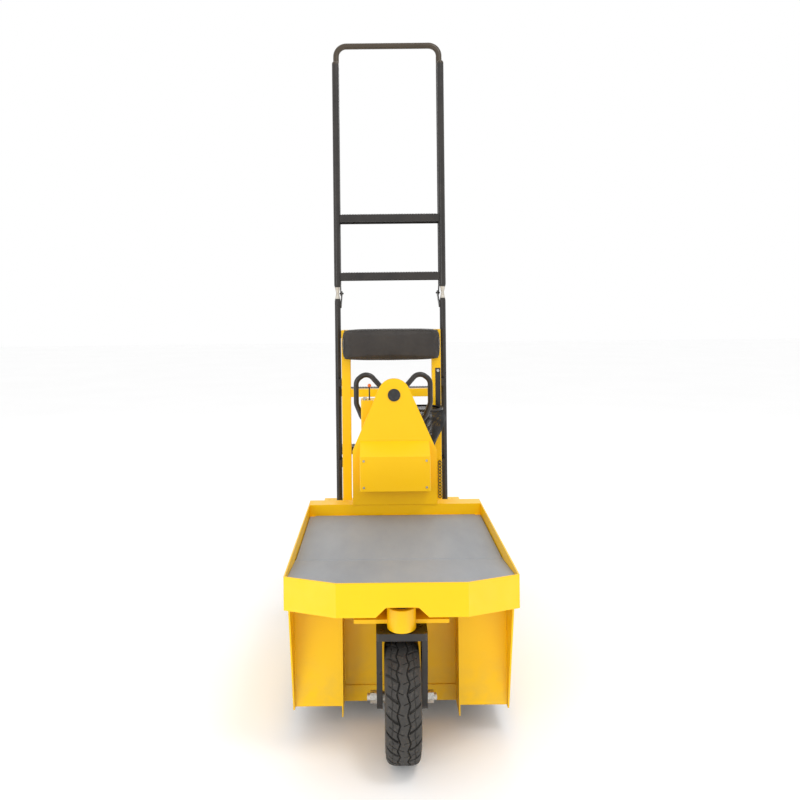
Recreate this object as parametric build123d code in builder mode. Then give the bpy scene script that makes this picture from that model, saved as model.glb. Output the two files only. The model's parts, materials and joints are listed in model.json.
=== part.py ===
"""Three-wheel stand-up electric picking truck with a cargo deck in front of the operator.

Millimetres.  +Z is up and the truck drives towards -Y.  "Right" is +X, as seen by somebody
standing in front of the truck.  The origin lies on the floor under the middle of the truck.
Every piece is written as its own STEP file in parts/.
"""

import os

from build123d import *

# ------------------------------------------------------------------ driving dimensions
overall_length = 1910     # front of the steered tyre to the rear bumper
body_width = 800          # across the tray rim
deck_height = 660         # top of the tray rim
clearance_under = 100     # floor to the lower edge of the skirts
ladder_height = 3120      # top of the hand hoop

sheet = 5                 # body sheet
tray_depth = 47           # rim above the mat
mat_thick = 8
lid_gap = 0.5             # lid above what it rests on

tyre_radius = 204.5
tyre_width = 120
rim_radius = 101
rim_flange = 11
rim_wall = 8
bead_half = 45
axle_radius = 12.5
hub_half = 40
hub_radius = 28
rear_wheel_x = 330
half_shaft_end = 100      # inner end of each driven half shaft
arch_inside = 262         # inner face of the wheel arches
running_fit = 0.05        # radial clearance of everything that turns

# ------------------------------------------------------------------ places along the truck
front_end = -overall_length / 2
rear_end = overall_length / 2
front_axle_y = front_end + tyre_radius
steer_trail = 40
steer_y = front_axle_y - steer_trail
rear_axle_y = rear_end - 275

nose_y = front_end + 55             # middle facet of the front band
nose_corner_y = nose_y + 65         # where the angled facets end
nose_half = 219
band_height = 114
band_return = 65
band_bottom = deck_height - band_height

bulkhead_y = front_end + 425        # front face of the bulkhead behind the steered wheel
shoulder_y = bulkhead_y - 110       # front face of the panels beside the wheel well
well_half = 212                     # the steered tyre sweeps to 202 at its widest
wall_y = front_end + 1070           # operator's side of the body
ledge_depth = 79
ledge_y = wall_y - ledge_depth
platform_end = wall_y + 335
cover_y = wall_y + 445              # front of the drive cover
cover_end = rear_end - 15

half_width = body_width / 2
rim_inside = half_width - sheet
skirt_sheet = 6
skirt_inside = rim_inside - skirt_sheet
mat_top = deck_height - tray_depth
lid_bottom = mat_top - mat_thick - sheet
support_top = lid_bottom - lid_gap

# ------------------------------------------------------------------ frame levels
rail_height = 50
rail_width = 50
rail_x = 230
rail_bottom = clearance_under + 10
rail_top = rail_bottom + rail_height
platform_top = rail_top + sheet + mat_thick
rear_deck_top = 450
axle_z = tyre_radius

# ------------------------------------------------------------------ steering
collar_radius = 50
collar_bottom = 464
collar_top = 542
stem_radius = 17.5
bearing_radius = 32
bearing_height = 14
crown_top = collar_bottom - 2
crown_thick = 25
fork_gap = 136
leg_thick = 20
column_y = wall_y + 85
column_radius = 15
chain_z = 565
chain_height = 8
chain_half = 4
chain_slack = 0.5
fork_sprocket_radius = 40
column_sprocket_radius = 60         # 3 : 2, so the fork turns 1.5 times as far

# ------------------------------------------------------------------ steering tower
tower_y = ledge_y - 6               # front face of the tower plate
tower_plate_thick = 6
tower_flange = 20
tower_half = 195
tower_shoulder = 908
dome_z = 1166
dome_radius = 76
plug_radius = 29
cover_half = 160
cover_depth = 80
cover_bottom = 741
cover_fold = 897
cover_top = 955
cowl_half = 150
cowl_depth = 160
cowl_bottom = 520
cowl_top = 900
cowl_sheet = 4

# ------------------------------------------------------------------ control head and handles
head_left = -157
head_right = 80
head_front = column_y - 40
head_back = column_y + 60
head_bottom = 947
head_top = 1125
handle_radius = 12.5
handle_reach = 180
handle_top = 1260
handle_bend = 42
lever_x = -116
lever_radius = 3
lever_slot = 12
lever_top = 1186
lever_pivot_z = head_top - 12
lever_pin = 2
lever_hub = 5
lever_hub_radius = 5
knob_radius = 9
thumb_x = head_right - 45
paddle_y = head_back + 30
horn_z = head_top - 40
horn_stem = 6
paddle_z = head_top - 110
paddle_pin = 3
paddle_length = 60

# ------------------------------------------------------------------ backrest and ladder
post_size = 50
post_x = 250
post_y = rear_axle_y + 20
post_top = 1450
crossbar_bottom = 1078
crossbar_height = 43
pad_width = 540
pad_bottom = 1280
pad_height = 180
pad_thick = 55
board_thick = 12

ladder_x = 300
ladder_y = post_y + 100
rail_tube_radius = 17
stile_radius = 19
hoop_radius = 17
hoop_offset = 90          # hoop legs behind the front tubes
hoop_bend = 60
knuckle_z = 1659
knuckle_height = 45
knuckle_waist = 8
stile_top = 2985
tread_pitch = 332
tread_height = 42
tread_depth = 110
tread_sheet = 4
first_tread = 740
pivot_y = ladder_y + 125
pivot_radius = 5
hinge_plate = 6
bracket_face = ladder_x - rail_tube_radius + 1     # outer face of the lower hinge plates

# ------------------------------------------------------------------ lid hinge and pedals
hinge_pin_radius = 2.5
barrel_radius = 4.5
hinge_y = ledge_y - barrel_radius - 1
hinge_z = lid_bottom + barrel_radius + 1.5
barrel_front = hinge_y - barrel_radius + 1.5
lug_inside = 370
seam_y = bulkhead_y - 15
pedal_x = 150
pedal_y = wall_y + 60
pedal_z = platform_top + 22
pedal_length = 110
strap_top = 1236

# ------------------------------------------------------------------ batteries
battery_size = (260, 181, 275)
battery_gap = 8
tray_sheet = 4
tray_lip = 40
tray_floor = rail_top + tray_sheet
battery_y = bulkhead_y + 60 + battery_gap + battery_size[1]

chamfer_small = 1
sides = (("left", -1), ("right", 1))


# ------------------------------------------------------------------ helpers
def save(builder, name):
    """Labels a finished piece and writes it as its own STEP file."""
    builder.part.label = name
    export_step(builder.part, f"parts/{name}.step")


def block(x, y, z, mode=Mode.ADD):
    """A rectangular block between three pairs of limits."""
    with Locations((sum(x) / 2, sum(y) / 2, sum(z) / 2)):
        Box(abs(x[1] - x[0]), abs(y[1] - y[0]), abs(z[1] - z[0]), mode=mode)


def rod(centre, radius, length, axis="X", mode=Mode.ADD):
    """A round bar about its centre, along X, Y or Z."""
    turn = {"X": (0, 90, 0), "Y": (90, 0, 0), "Z": (0, 0, 0)}[axis]
    with Locations(Location(centre, turn)):
        Cylinder(radius, length, mode=mode)


def across(y):
    """The upright plane facing forward at a place along the truck."""
    return Plane.XZ.offset(-y)


def between(sign, inner, outer):
    """Limits in X on one side of the truck."""
    return tuple(sorted((sign * inner, sign * outer)))


os.makedirs("parts", exist_ok=True)


# ------------------------------------------------------------------ cargo deck
def nose_outline(back_y):
    """Plan of the tray's front end: a straight middle facet and two angled ones."""
    Polygon((-half_width, back_y), (-half_width, nose_corner_y), (-nose_half, nose_y),
            (nose_half, nose_y), (half_width, nose_corner_y), (half_width, back_y), align=None)


def make_front_band():
    """Three-facet front wall of the tray, with the notch over the steering collar."""
    return_end = nose_corner_y + band_return
    notch_half = 88.5
    notch_top_half = 53.5
    notch_height = 33
    with BuildPart() as band:
        with BuildSketch(Plane.XY.offset(band_bottom)):
            nose_outline(return_end + sheet)
            offset(amount=-sheet, kind=Kind.INTERSECTION, mode=Mode.SUBTRACT)
            with Locations((0, return_end + sheet / 2)):
                Rectangle(body_width, sheet, mode=Mode.SUBTRACT)
        extrude(amount=band_height)
        with BuildSketch(across(nose_y + 2 * sheet)):
            with BuildLine():
                Polyline((-notch_half, band_bottom), (notch_half, band_bottom),
                         (notch_top_half, band_bottom + notch_height),
                         (-notch_top_half, band_bottom + notch_height), close=True)
            make_face()
        extrude(amount=3 * sheet, mode=Mode.SUBTRACT)
    save(band, "front_band")


def make_side_walls():
    """Upper side bands, and the skirts welded inside them with their raked front edge."""
    rake_top = nose_corner_y + band_return
    rake_bottom = shoulder_y - 5
    rake_rise = band_bottom - clearance_under
    overlap_y = rake_top - (rake_bottom - rake_top) * (support_top - band_bottom) / rake_rise
    with BuildPart() as bands:
        for name, sign in sides:
            block(between(sign, rim_inside, half_width), (rake_top, wall_y),
                  (band_bottom, deck_height))
    save(bands, "side_bands")

    with BuildPart() as skirts:
        for name, sign in sides:
            inner_x = min(between(sign, skirt_inside, rim_inside))
            with BuildSketch(Plane.YZ.offset(inner_x)):
                with BuildLine():
                    Polyline((rake_bottom, clearance_under), (wall_y, clearance_under),
                             (wall_y, support_top), (overlap_y, support_top), close=True)
                make_face()
            extrude(amount=skirt_sheet)
    save(skirts, "side_skirts")


def make_rear_ledge():
    """Folded ledge and the wall under it, with lugs that hold the lid's hinge pin."""
    slot_half = 85
    with BuildPart() as ledge:
        block((-rim_inside, rim_inside), (ledge_y, wall_y), (deck_height - sheet, deck_height))
        block((-rim_inside, rim_inside), (ledge_y, ledge_y + sheet), (support_top, deck_height))
        block((-rim_inside, rim_inside), (wall_y - sheet, wall_y), (support_top, deck_height))
        block((-skirt_inside, skirt_inside), (wall_y - sheet, wall_y), (rail_top, deck_height))
        for name, sign in sides:
            block(between(sign, lug_inside, rim_inside - 1), (hinge_y - 4, ledge_y),
                  (hinge_z - 4, hinge_z + 4))
        block((-slot_half, slot_half), (wall_y - 2 * sheet, wall_y + 1),
              (chain_z - 15, chain_z + 15), mode=Mode.SUBTRACT)
        rod((0, hinge_y, hinge_z), hinge_pin_radius, 2 * rim_inside - 4)
    save(ledge, "rear_ledge")


def make_bulkhead():
    """Upright behind the steered wheel: a well that the wheel turns in, and its two shoulders."""
    flange = (bulkhead_y - 30, bulkhead_y + 30)
    slot_half = 85
    well_outside = well_half + sheet
    well_bottom = rail_bottom - 40
    with BuildPart() as bulkhead:
        block((-skirt_inside, skirt_inside), (bulkhead_y, bulkhead_y + sheet),
              (rail_bottom, support_top))
        block((-well_outside, well_outside), (bulkhead_y - sheet, bulkhead_y),
              (well_bottom, rail_bottom + 20))
        for name, sign in sides:
            block(between(sign, well_half, well_outside), (shoulder_y, bulkhead_y),
                  (well_bottom, support_top))
            block(between(sign, well_half, skirt_inside), (shoulder_y, shoulder_y + sheet),
                  (rail_bottom, support_top))
        block((-skirt_inside, skirt_inside), flange, (support_top - sheet, support_top))
        block((-slot_half, slot_half), (bulkhead_y - 1, bulkhead_y + sheet + 1),
              (chain_z - 15, chain_z + 15), mode=Mode.SUBTRACT)
    save(bulkhead, "front_bulkhead")


def make_nose_ramp():
    """Ramp that rises from the flat deck to the front rim, and the mat glued on it."""
    ramp_rise = 42
    edge_fit = 1
    flat_end = bulkhead_y - 30
    layers = (("nose_ramp", support_top, sheet), ("nose_mat", support_top + sheet, mat_thick))
    for name, base, thick in layers:
        with BuildPart() as layer:
            with BuildSketch(Plane.XY.offset(support_top)):
                nose_outline(seam_y + sheet + edge_fit)
                offset(amount=-sheet - edge_fit, kind=Kind.INTERSECTION, mode=Mode.REPLACE)
            extrude(amount=deck_height - support_top)
            with BuildSketch(Plane.YZ):
                with BuildLine():
                    Polyline((seam_y, base), (flat_end, base), (nose_y, base + ramp_rise),
                             (nose_y, base + ramp_rise + thick), (flat_end, base + thick),
                             (seam_y, base + thick), close=True)
                make_face()
            extrude(amount=half_width, both=True, mode=Mode.INTERSECT)
        save(layer, name)


def make_deck_lid():
    """Lifting battery lid with its hinge barrels, and the mat glued on it."""
    barrel_length = 120
    lid_half = rim_inside - 3
    lug_clear = 15
    with BuildPart() as lid:
        block((-lid_half, lid_half), (seam_y + 1, barrel_front), (lid_bottom, lid_bottom + sheet))
        block((lug_inside - 3, lid_half + 1), (hinge_y - 6, ledge_y), (lid_bottom - 1, mat_top),
              mode=Mode.SUBTRACT)
        block((-lid_half - 1, 3 - lug_inside), (hinge_y - 6, ledge_y), (lid_bottom - 1, mat_top),
              mode=Mode.SUBTRACT)
        for place in (-230, 0, 230):
            rod((place, hinge_y, hinge_z), barrel_radius, barrel_length)
            rod((place, hinge_y, hinge_z), hinge_pin_radius + running_fit, barrel_length,
                mode=Mode.SUBTRACT)
    save(lid, "deck_lid")

    with BuildPart() as mat:
        block((-lid_half, lid_half), (seam_y + 1, barrel_front - 2),
              (lid_bottom + sheet, mat_top))
        for name, sign in sides:
            block(between(sign, lug_inside - 3, lid_half + 1), (hinge_y - lug_clear, ledge_y),
                  (lid_bottom, mat_top + 1), mode=Mode.SUBTRACT)
        chamfer(mat.faces().sort_by(Axis.Z)[-1].edges(), length=chamfer_small)
    save(mat, "deck_mat")


make_front_band()
make_side_walls()
make_rear_ledge()
make_bulkhead()
make_nose_ramp()
make_deck_lid()


# ------------------------------------------------------------------ chassis and power
def make_chassis():
    """Welded base: floor pan, two rails along the truck and the battery tray on them."""
    tray_x = battery_size[0] + 1.5 * battery_gap + tray_sheet
    tray_y = battery_size[1] + 1.5 * battery_gap + tray_sheet
    with BuildPart() as frame:
        block((-skirt_inside, skirt_inside), (bulkhead_y, platform_end),
              (rail_bottom - sheet, rail_bottom))
        for name, sign in sides:
            block(between(sign, rail_x - rail_width / 2, rail_x + rail_width / 2),
                  (bulkhead_y + sheet, cover_end - sheet), (rail_bottom, rail_top))
        block((-tray_x, tray_x), (battery_y - tray_y, battery_y + tray_y),
              (rail_top, tray_floor + tray_lip))
        block((tray_sheet - tray_x, tray_x - tray_sheet),
              (battery_y - tray_y + tray_sheet, battery_y + tray_y - tray_sheet),
              (tray_floor, tray_floor + tray_lip), mode=Mode.SUBTRACT)
    save(frame, "chassis_frame")


def make_batteries():
    """Four monobloc batteries with their terminals, and links laid across the terminals."""
    size_x, size_y, size_z = battery_size
    top = tray_floor + size_z
    terminal_dx = 95
    terminal_dy = 60
    terminal_radius = 9
    terminal_height = 16
    link = 4
    link_z = (top + terminal_height, top + terminal_height + link)
    inner = (size_x + battery_gap) / 2 - terminal_dx + terminal_radius
    row = (size_y + battery_gap) / 2 + terminal_dy
    with BuildPart() as batteries:
        for cx in (-1, 1):
            for cy in (-1, 1):
                x = cx * (size_x + battery_gap) / 2
                y = battery_y + cy * (size_y + battery_gap) / 2
                block((x - size_x / 2, x + size_x / 2), (y - size_y / 2, y + size_y / 2),
                      (tray_floor, top))
                for dx in (-terminal_dx, terminal_dx):
                    rod((x + dx, y + cy * terminal_dy, top + terminal_height / 2),
                        terminal_radius, terminal_height, "Z")
        for cy in (-1, 1):
            y = battery_y + cy * row
            block((-inner, inner), (y - terminal_radius, y + terminal_radius), link_z)
    save(batteries, "batteries")


def make_controller():
    """Finned motor controller on the body wall."""
    width, height, depth = 220, 130, 45
    fins = 8
    fin_depth = 25
    base_z = 300
    with BuildPart() as controller:
        block((-width / 2, width / 2), (wall_y - sheet - depth, wall_y - sheet),
              (base_z, base_z + height))
        for index in range(fins):
            x = (index - (fins - 1) / 2) * width / fins
            block((x - 3, x + 3), (wall_y - sheet - depth - fin_depth, wall_y - sheet - depth),
                  (base_z, base_z + height))
    save(controller, "motor_controller")


make_chassis()
make_batteries()
make_controller()


# ------------------------------------------------------------------ wheels
def make_wheel(name, x, y, shaft_side=0):
    """A pneumatic tyre on its pressed rim; a driven rim carries its own half shaft."""
    shoulder = tyre_width / 2 - 10
    wall_low = rim_radius + 34
    wall_high = tyre_radius - 28
    with BuildPart() as tyre:
        with BuildSketch(Plane.XY):
            with BuildLine():
                Polyline((-bead_half, rim_radius), (bead_half, rim_radius),
                         (bead_half, rim_radius + rim_flange), (tyre_width / 2, wall_low),
                         (tyre_width / 2, wall_high), (shoulder, tyre_radius),
                         (-shoulder, tyre_radius), (-tyre_width / 2, wall_high),
                         (-tyre_width / 2, wall_low), (-bead_half, rim_radius + rim_flange),
                         close=True)
            make_face()
        revolve(axis=Axis.X)
    tyre.part = tyre.part.moved(Location((x, y, axle_z)))
    save(tyre, f"{name}_tyre")

    disc_half = 4
    with BuildPart() as rim:
        rod((0, 0, 0), rim_radius + rim_flange, 2 * (bead_half + sheet))
        rod((0, 0, 0), rim_radius + rim_flange + 1, 2 * bead_half, mode=Mode.SUBTRACT)
        rod((0, 0, 0), rim_radius, 2 * (bead_half + sheet))
        for sign in (-1, 1):
            rod((sign * (bead_half + sheet + disc_half) / 2, 0, 0), rim_radius - rim_wall,
                bead_half + sheet - disc_half, mode=Mode.SUBTRACT)
        rod((0, 0, 0), hub_radius, 2 * hub_half)
        if shaft_side:
            shaft_length = abs(x) - half_shaft_end
            rod((-shaft_side * shaft_length / 2, 0, 0), axle_radius, shaft_length)
        else:
            rod((0, 0, 0), axle_radius + running_fit, 2 * hub_half + 2, mode=Mode.SUBTRACT)
        with Locations(Location((0, 0, 0), (0, 90, 0))):
            with PolarLocations(60, 5):
                Cylinder(9, 3 * disc_half, mode=Mode.SUBTRACT)
    rim.part = rim.part.moved(Location((x, y, axle_z)))
    save(rim, f"{name}_rim")


def make_front_fork():
    """Crown with the stem and its sprocket, two legs, and the axle with its nuts."""
    crown_half = fork_gap / 2 + leg_thick
    crown_front = steer_y - 45
    crown_back = steer_y + 70
    crown_bottom = crown_top - crown_thick
    stem_top = chain_z + chain_height + 8
    with BuildPart() as crown:
        block((-crown_half, crown_half), (crown_front, crown_back), (crown_bottom, crown_top))
        fillet(crown.edges().filter_by(Axis.Z), radius=12)
        rod((0, steer_y, (crown_top + stem_top) / 2), stem_radius, stem_top - crown_top, "Z")
        sprocket_disc(steer_y, fork_sprocket_radius)
    save(crown, "fork_crown")

    leg_end_radius = 38
    with BuildPart() as legs:
        for name, sign in sides:
            with BuildSketch(Plane.YZ.offset(min(between(sign, fork_gap / 2, crown_half)))):
                with Locations((front_axle_y, axle_z)):
                    Circle(leg_end_radius)
                with Locations((steer_y + 10, crown_bottom - 5)):
                    Rectangle(80, 10)
                make_hull()
                with Locations((front_axle_y, axle_z)):
                    Circle(axle_radius, mode=Mode.SUBTRACT)
            extrude(amount=leg_thick)
    save(legs, "fork_legs")

    nut_width = 36
    nut_thick = 20
    washer_thick = 3
    axle_end = crown_half + nut_thick + 14
    with BuildPart() as axle:
        rod((0, front_axle_y, axle_z), axle_radius, 2 * axle_end)
        chamfer(axle.edges().filter_by(GeomType.CIRCLE), length=2)
    save(axle, "front_axle")

    spacer_length = fork_gap / 2 - hub_half - lid_gap
    with BuildPart() as fittings:
        for name, sign in sides:
            washer_x = sign * (crown_half + washer_thick / 2)
            rod((washer_x, front_axle_y, axle_z), nut_width / 2 + 4, washer_thick)
            nut_face = crown_half + washer_thick
            with BuildSketch(Plane.YZ.offset(min(between(sign, nut_face, nut_face + nut_thick)))):
                with Locations((front_axle_y, axle_z)):
                    RegularPolygon(nut_width / 2, 6, major_radius=False)
            extrude(amount=nut_thick)
            rod((sign * (fork_gap / 2 - spacer_length / 2), front_axle_y, axle_z), axle_radius + 6,
                spacer_length)
        rod((0, front_axle_y, axle_z), axle_radius, 2 * axle_end + 2, mode=Mode.SUBTRACT)
    save(fittings, "axle_nuts")


def make_steering_head():
    """Head plates welded to the bulkhead, with the collar that holds the fork's bearings."""
    plate_half = 165
    plate_z = (478, 492)
    upper_half = 80
    gusset_inner = 132
    gusset_top = band_bottom - 8
    collar_mid = (collar_bottom + collar_top) / 2
    with BuildPart() as plates:
        rod((0, steer_y, collar_mid), collar_radius, collar_top - collar_bottom, "Z")
        chamfer(plates.edges().filter_by(GeomType.CIRCLE), length=2)
        block((-plate_half, plate_half), (steer_y, bulkhead_y), plate_z)
        block((-upper_half, upper_half), (steer_y, bulkhead_y), (collar_top - 12, collar_top - 2))
        for name, sign in sides:
            block(between(sign, gusset_inner, gusset_inner + 8), (steer_y + 20, bulkhead_y),
                  (plate_z[1], gusset_top))
        rod((0, steer_y, collar_mid), bearing_radius, collar_top, "Z", mode=Mode.SUBTRACT)
    save(plates, "head_collar")


def make_steering_bearings():
    """Two bearings in the collar for the fork, and two in the cowl for the column."""
    with BuildPart() as bearings:
        for z in (collar_bottom + bearing_height / 2, collar_top - bearing_height / 2):
            rod((0, steer_y, z), bearing_radius, bearing_height, "Z")
        for z in (cowl_bottom + cowl_sheet / 2, cowl_top - cowl_sheet / 2):
            rod((0, column_y, z), bearing_radius, 20, "Z")
            rod((0, column_y, z + 12), bearing_radius + 8, 4, "Z")
        rod((0, steer_y, cowl_bottom), stem_radius + running_fit, 4 * collar_top, "Z",
            mode=Mode.SUBTRACT)
        rod((0, column_y, cowl_bottom), column_radius + running_fit, 4 * collar_top, "Z",
            mode=Mode.SUBTRACT)
    save(bearings, "steering_bearings")


def sprocket_disc(y, pitch_radius):
    """Sprocket body just inside the chain, centred on a steering shaft."""
    rod((0, y, chain_z + chain_height / 2), pitch_radius - chain_half - chain_slack,
        chain_height, "Z")


def make_steering_chain():
    """Chain round both sprockets, running straight back under the deck lid."""
    with BuildPart() as chain:
        with BuildSketch(Plane.XY.offset(chain_z)):
            with Locations((0, steer_y)):
                Circle(fork_sprocket_radius + chain_half)
            with Locations((0, column_y)):
                Circle(column_sprocket_radius + chain_half)
            make_hull()
            with BuildSketch(Plane.XY, mode=Mode.SUBTRACT):
                with Locations((0, steer_y)):
                    Circle(fork_sprocket_radius - chain_half)
                with Locations((0, column_y)):
                    Circle(column_sprocket_radius - chain_half)
                make_hull()
        extrude(amount=chain_height)
    save(chain, "steering_chain")


make_wheel("front", 0, front_axle_y)
for side_name, side_sign in sides:
    make_wheel(f"rear_{side_name}", side_sign * rear_wheel_x, rear_axle_y, side_sign)
make_front_fork()
make_steering_head()
make_steering_bearings()
make_steering_chain()


# ------------------------------------------------------------------ steering tower
def tower_outline(z_bottom):
    """Straight foot, sloping shoulders tangent to a round top, drawn facing forward."""
    with Locations((0, dome_z)):
        Circle(dome_radius)
    with Locations((0, tower_shoulder - 5)):
        Rectangle(2 * tower_half, 10)
    make_hull()
    with Locations((0, (z_bottom + tower_shoulder) / 2)):
        Rectangle(2 * tower_half, tower_shoulder - z_bottom)


def make_tower():
    """Flanged front plate, its round plug, the box over the wiring and the column cowl."""
    with BuildPart() as plate:
        with BuildSketch(across(tower_y)):
            tower_outline(deck_height)
        extrude(amount=-tower_flange)
        with BuildSketch(across(tower_y + tower_plate_thick)):
            tower_outline(deck_height)
            offset(amount=-sheet, kind=Kind.INTERSECTION)
            with Locations((0, deck_height)):
                Rectangle(2 * (tower_half - sheet), 4 * sheet)
        extrude(amount=-tower_flange, mode=Mode.SUBTRACT)
        rod((0, tower_y, dome_z), plug_radius - 4, 3 * tower_flange, "Y", mode=Mode.SUBTRACT)
    save(plate, "tower_plate")

    with BuildPart() as plug:
        rod((0, tower_y - 2, dome_z), plug_radius, 4, "Y")
        rod((0, tower_y + 6, dome_z), plug_radius - 4, 12, "Y")
        fillet(plug.edges().group_by(Axis.Y)[0], radius=1.5)
    save(plug, "tower_plug")

    front = tower_y - cover_depth
    with BuildPart() as cover:
        with BuildSketch(Plane.YZ):
            with BuildLine():
                Polyline((tower_y, cover_bottom), (front, cover_bottom), (front, cover_fold),
                         (tower_y, cover_top), close=True)
            make_face()
        extrude(amount=cover_half, both=True)
        fillet(cover.edges().filter_by(Axis.Z).group_by(Axis.Y)[0], radius=6)
        offset(amount=-3, openings=cover.faces().sort_by(Axis.Y)[-1], kind=Kind.INTERSECTION)
    save(cover, "tower_cover")

    cowl_front = tower_y + tower_plate_thick
    cowl_back = wall_y + cowl_depth
    with BuildPart() as cowl:
        block((-cowl_half, cowl_half), (wall_y, cowl_back), (cowl_bottom, cowl_top))
        block((-cowl_half, cowl_half), (cowl_front, wall_y), (deck_height, cowl_top))
        fillet(cowl.edges().filter_by(Axis.Z).group_by(Axis.Y)[-1], radius=20)
        inner = cowl_half - cowl_sheet
        block((-inner, inner), (cowl_front - 1, cowl_back - cowl_sheet),
              (deck_height, cowl_top - cowl_sheet), mode=Mode.SUBTRACT)
        block((-inner, inner), (wall_y - 1, cowl_back - cowl_sheet),
              (cowl_bottom + cowl_sheet, deck_height + 1), mode=Mode.SUBTRACT)
        rod((0, column_y, cowl_top), bearing_radius, 200, "Z", mode=Mode.SUBTRACT)
        rod((0, column_y, cowl_bottom), bearing_radius, 2 * cowl_sheet + 2, "Z",
            mode=Mode.SUBTRACT)
    save(cowl, "column_cowl")


def make_column():
    """Steering shaft with its sprocket, and the control head clamped on the top of it."""
    shaft_bottom = cowl_bottom - 6
    shaft_top = head_top - 20
    with BuildPart() as shaft:
        rod((0, column_y, (shaft_bottom + shaft_top) / 2), column_radius,
            shaft_top - shaft_bottom, "Z")
        sprocket_disc(column_y, column_sprocket_radius)
    save(shaft, "column_shaft")

    wall = 3
    boss_height = 30
    with BuildPart() as head:
        block((head_left, head_right), (head_front, head_back), (head_bottom, head_top))
        fillet(head.edges().filter_by(Axis.Z), radius=8)
        block((head_left + wall, head_right - wall), (head_front + wall, head_back - wall),
              (head_bottom + wall, head_top - wall), mode=Mode.SUBTRACT)
        rod((0, column_y, head_bottom - boss_height / 2), column_radius + 14, boss_height, "Z")
        rod((0, column_y, head_bottom), column_radius, 4 * boss_height, "Z", mode=Mode.SUBTRACT)
        block((lever_x - lever_radius - 2, lever_x + lever_radius + 2),
              (column_y - lever_slot, column_y + lever_slot), (head_top - 2 * wall, head_top + 1),
              mode=Mode.SUBTRACT)
        rod((lever_x, column_y, lever_pivot_z), lever_pin, 2 * lever_hub + 8)
        for end in (-1, 1):
            ear_x = lever_x + end * (lever_hub + 2)
            block((ear_x - 1.5, ear_x + 1.5), (column_y - 6, column_y + 6),
                  (lever_pivot_z - 6, head_top - wall))
        rod((thumb_x, head_back, horn_z), horn_stem + running_fit, 4 * wall, "Y",
            mode=Mode.SUBTRACT)
        rod((thumb_x, paddle_y, paddle_z), paddle_pin, paddle_length + 6)
        for end in (-1, 1):
            ear_x = thumb_x + end * (paddle_length / 2 + 3)
            block((ear_x - 2, ear_x + 2), (head_back, paddle_y + 6),
                  (paddle_z - 6, paddle_z + 6))
    save(head, "control_head")


def make_handles():
    """Butterfly loops: out over the top of the head and back into its side."""
    with BuildPart() as handles:
        for name, sign in sides:
            with BuildLine(across(column_y)):
                path = FilletPolyline(
                    (sign * 40, head_top - 10), (sign * 48, 1172), (sign * 125, handle_top),
                    (sign * handle_reach, handle_top - 42), (sign * handle_reach, 1105),
                    (sign * 152, 1035), (sign * 60, 985), radius=handle_bend)
            with BuildSketch(Plane(origin=path @ 0, z_dir=path % 0)):
                Circle(handle_radius)
            sweep(path=path)
        block((head_left, head_right), (head_front, head_back), (head_bottom, head_top),
              mode=Mode.SUBTRACT)
    save(handles, "loop_handles")


def make_controls():
    """Direction lever, key, horn button and thumb throttle."""
    with BuildPart() as lever:
        rod((lever_x, column_y, (lever_pivot_z + lever_top) / 2), lever_radius,
            lever_top - lever_pivot_z, "Z")
        rod((lever_x, column_y, lever_pivot_z), lever_hub_radius, 2 * lever_hub)
        with Locations((lever_x, column_y, lever_top + knob_radius - 2)):
            Sphere(knob_radius)
        rod((lever_x, column_y, lever_pivot_z), lever_pin + running_fit, 4 * lever_hub,
            mode=Mode.SUBTRACT)
    save(lever, "direction_lever")

    key_x = head_left + 20
    key_y = column_y - 20
    with BuildPart() as key:
        rod((key_x, key_y, head_top + 3 + lid_gap), 9, 6, "Z")
        block((key_x - 9, key_x + 9), (key_y - 2, key_y + 2), (head_top + 5, head_top + 16))
    save(key, "start_key")

    button_depth = 8
    with BuildPart() as button:
        rod((thumb_x, head_back + button_depth / 2 + 5, horn_z), 11, button_depth, "Y")
        fillet(button.edges().group_by(Axis.Y)[-1], radius=2)
        rod((thumb_x, head_back, horn_z), horn_stem, 4 * button_depth - 6, "Y")
    save(button, "horn_button")

    with BuildPart() as paddle:
        rod((thumb_x, paddle_y, paddle_z), 8, paddle_length)
        block((thumb_x - 10, thumb_x + 28), (paddle_y - 6, paddle_y + 6),
              (paddle_z, paddle_z + 55))
        rod((thumb_x, paddle_y, paddle_z), paddle_pin + running_fit, 2 * paddle_length,
            mode=Mode.SUBTRACT)
    save(paddle, "throttle_paddle")



make_tower()
make_column()
make_handles()
make_controls()


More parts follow.
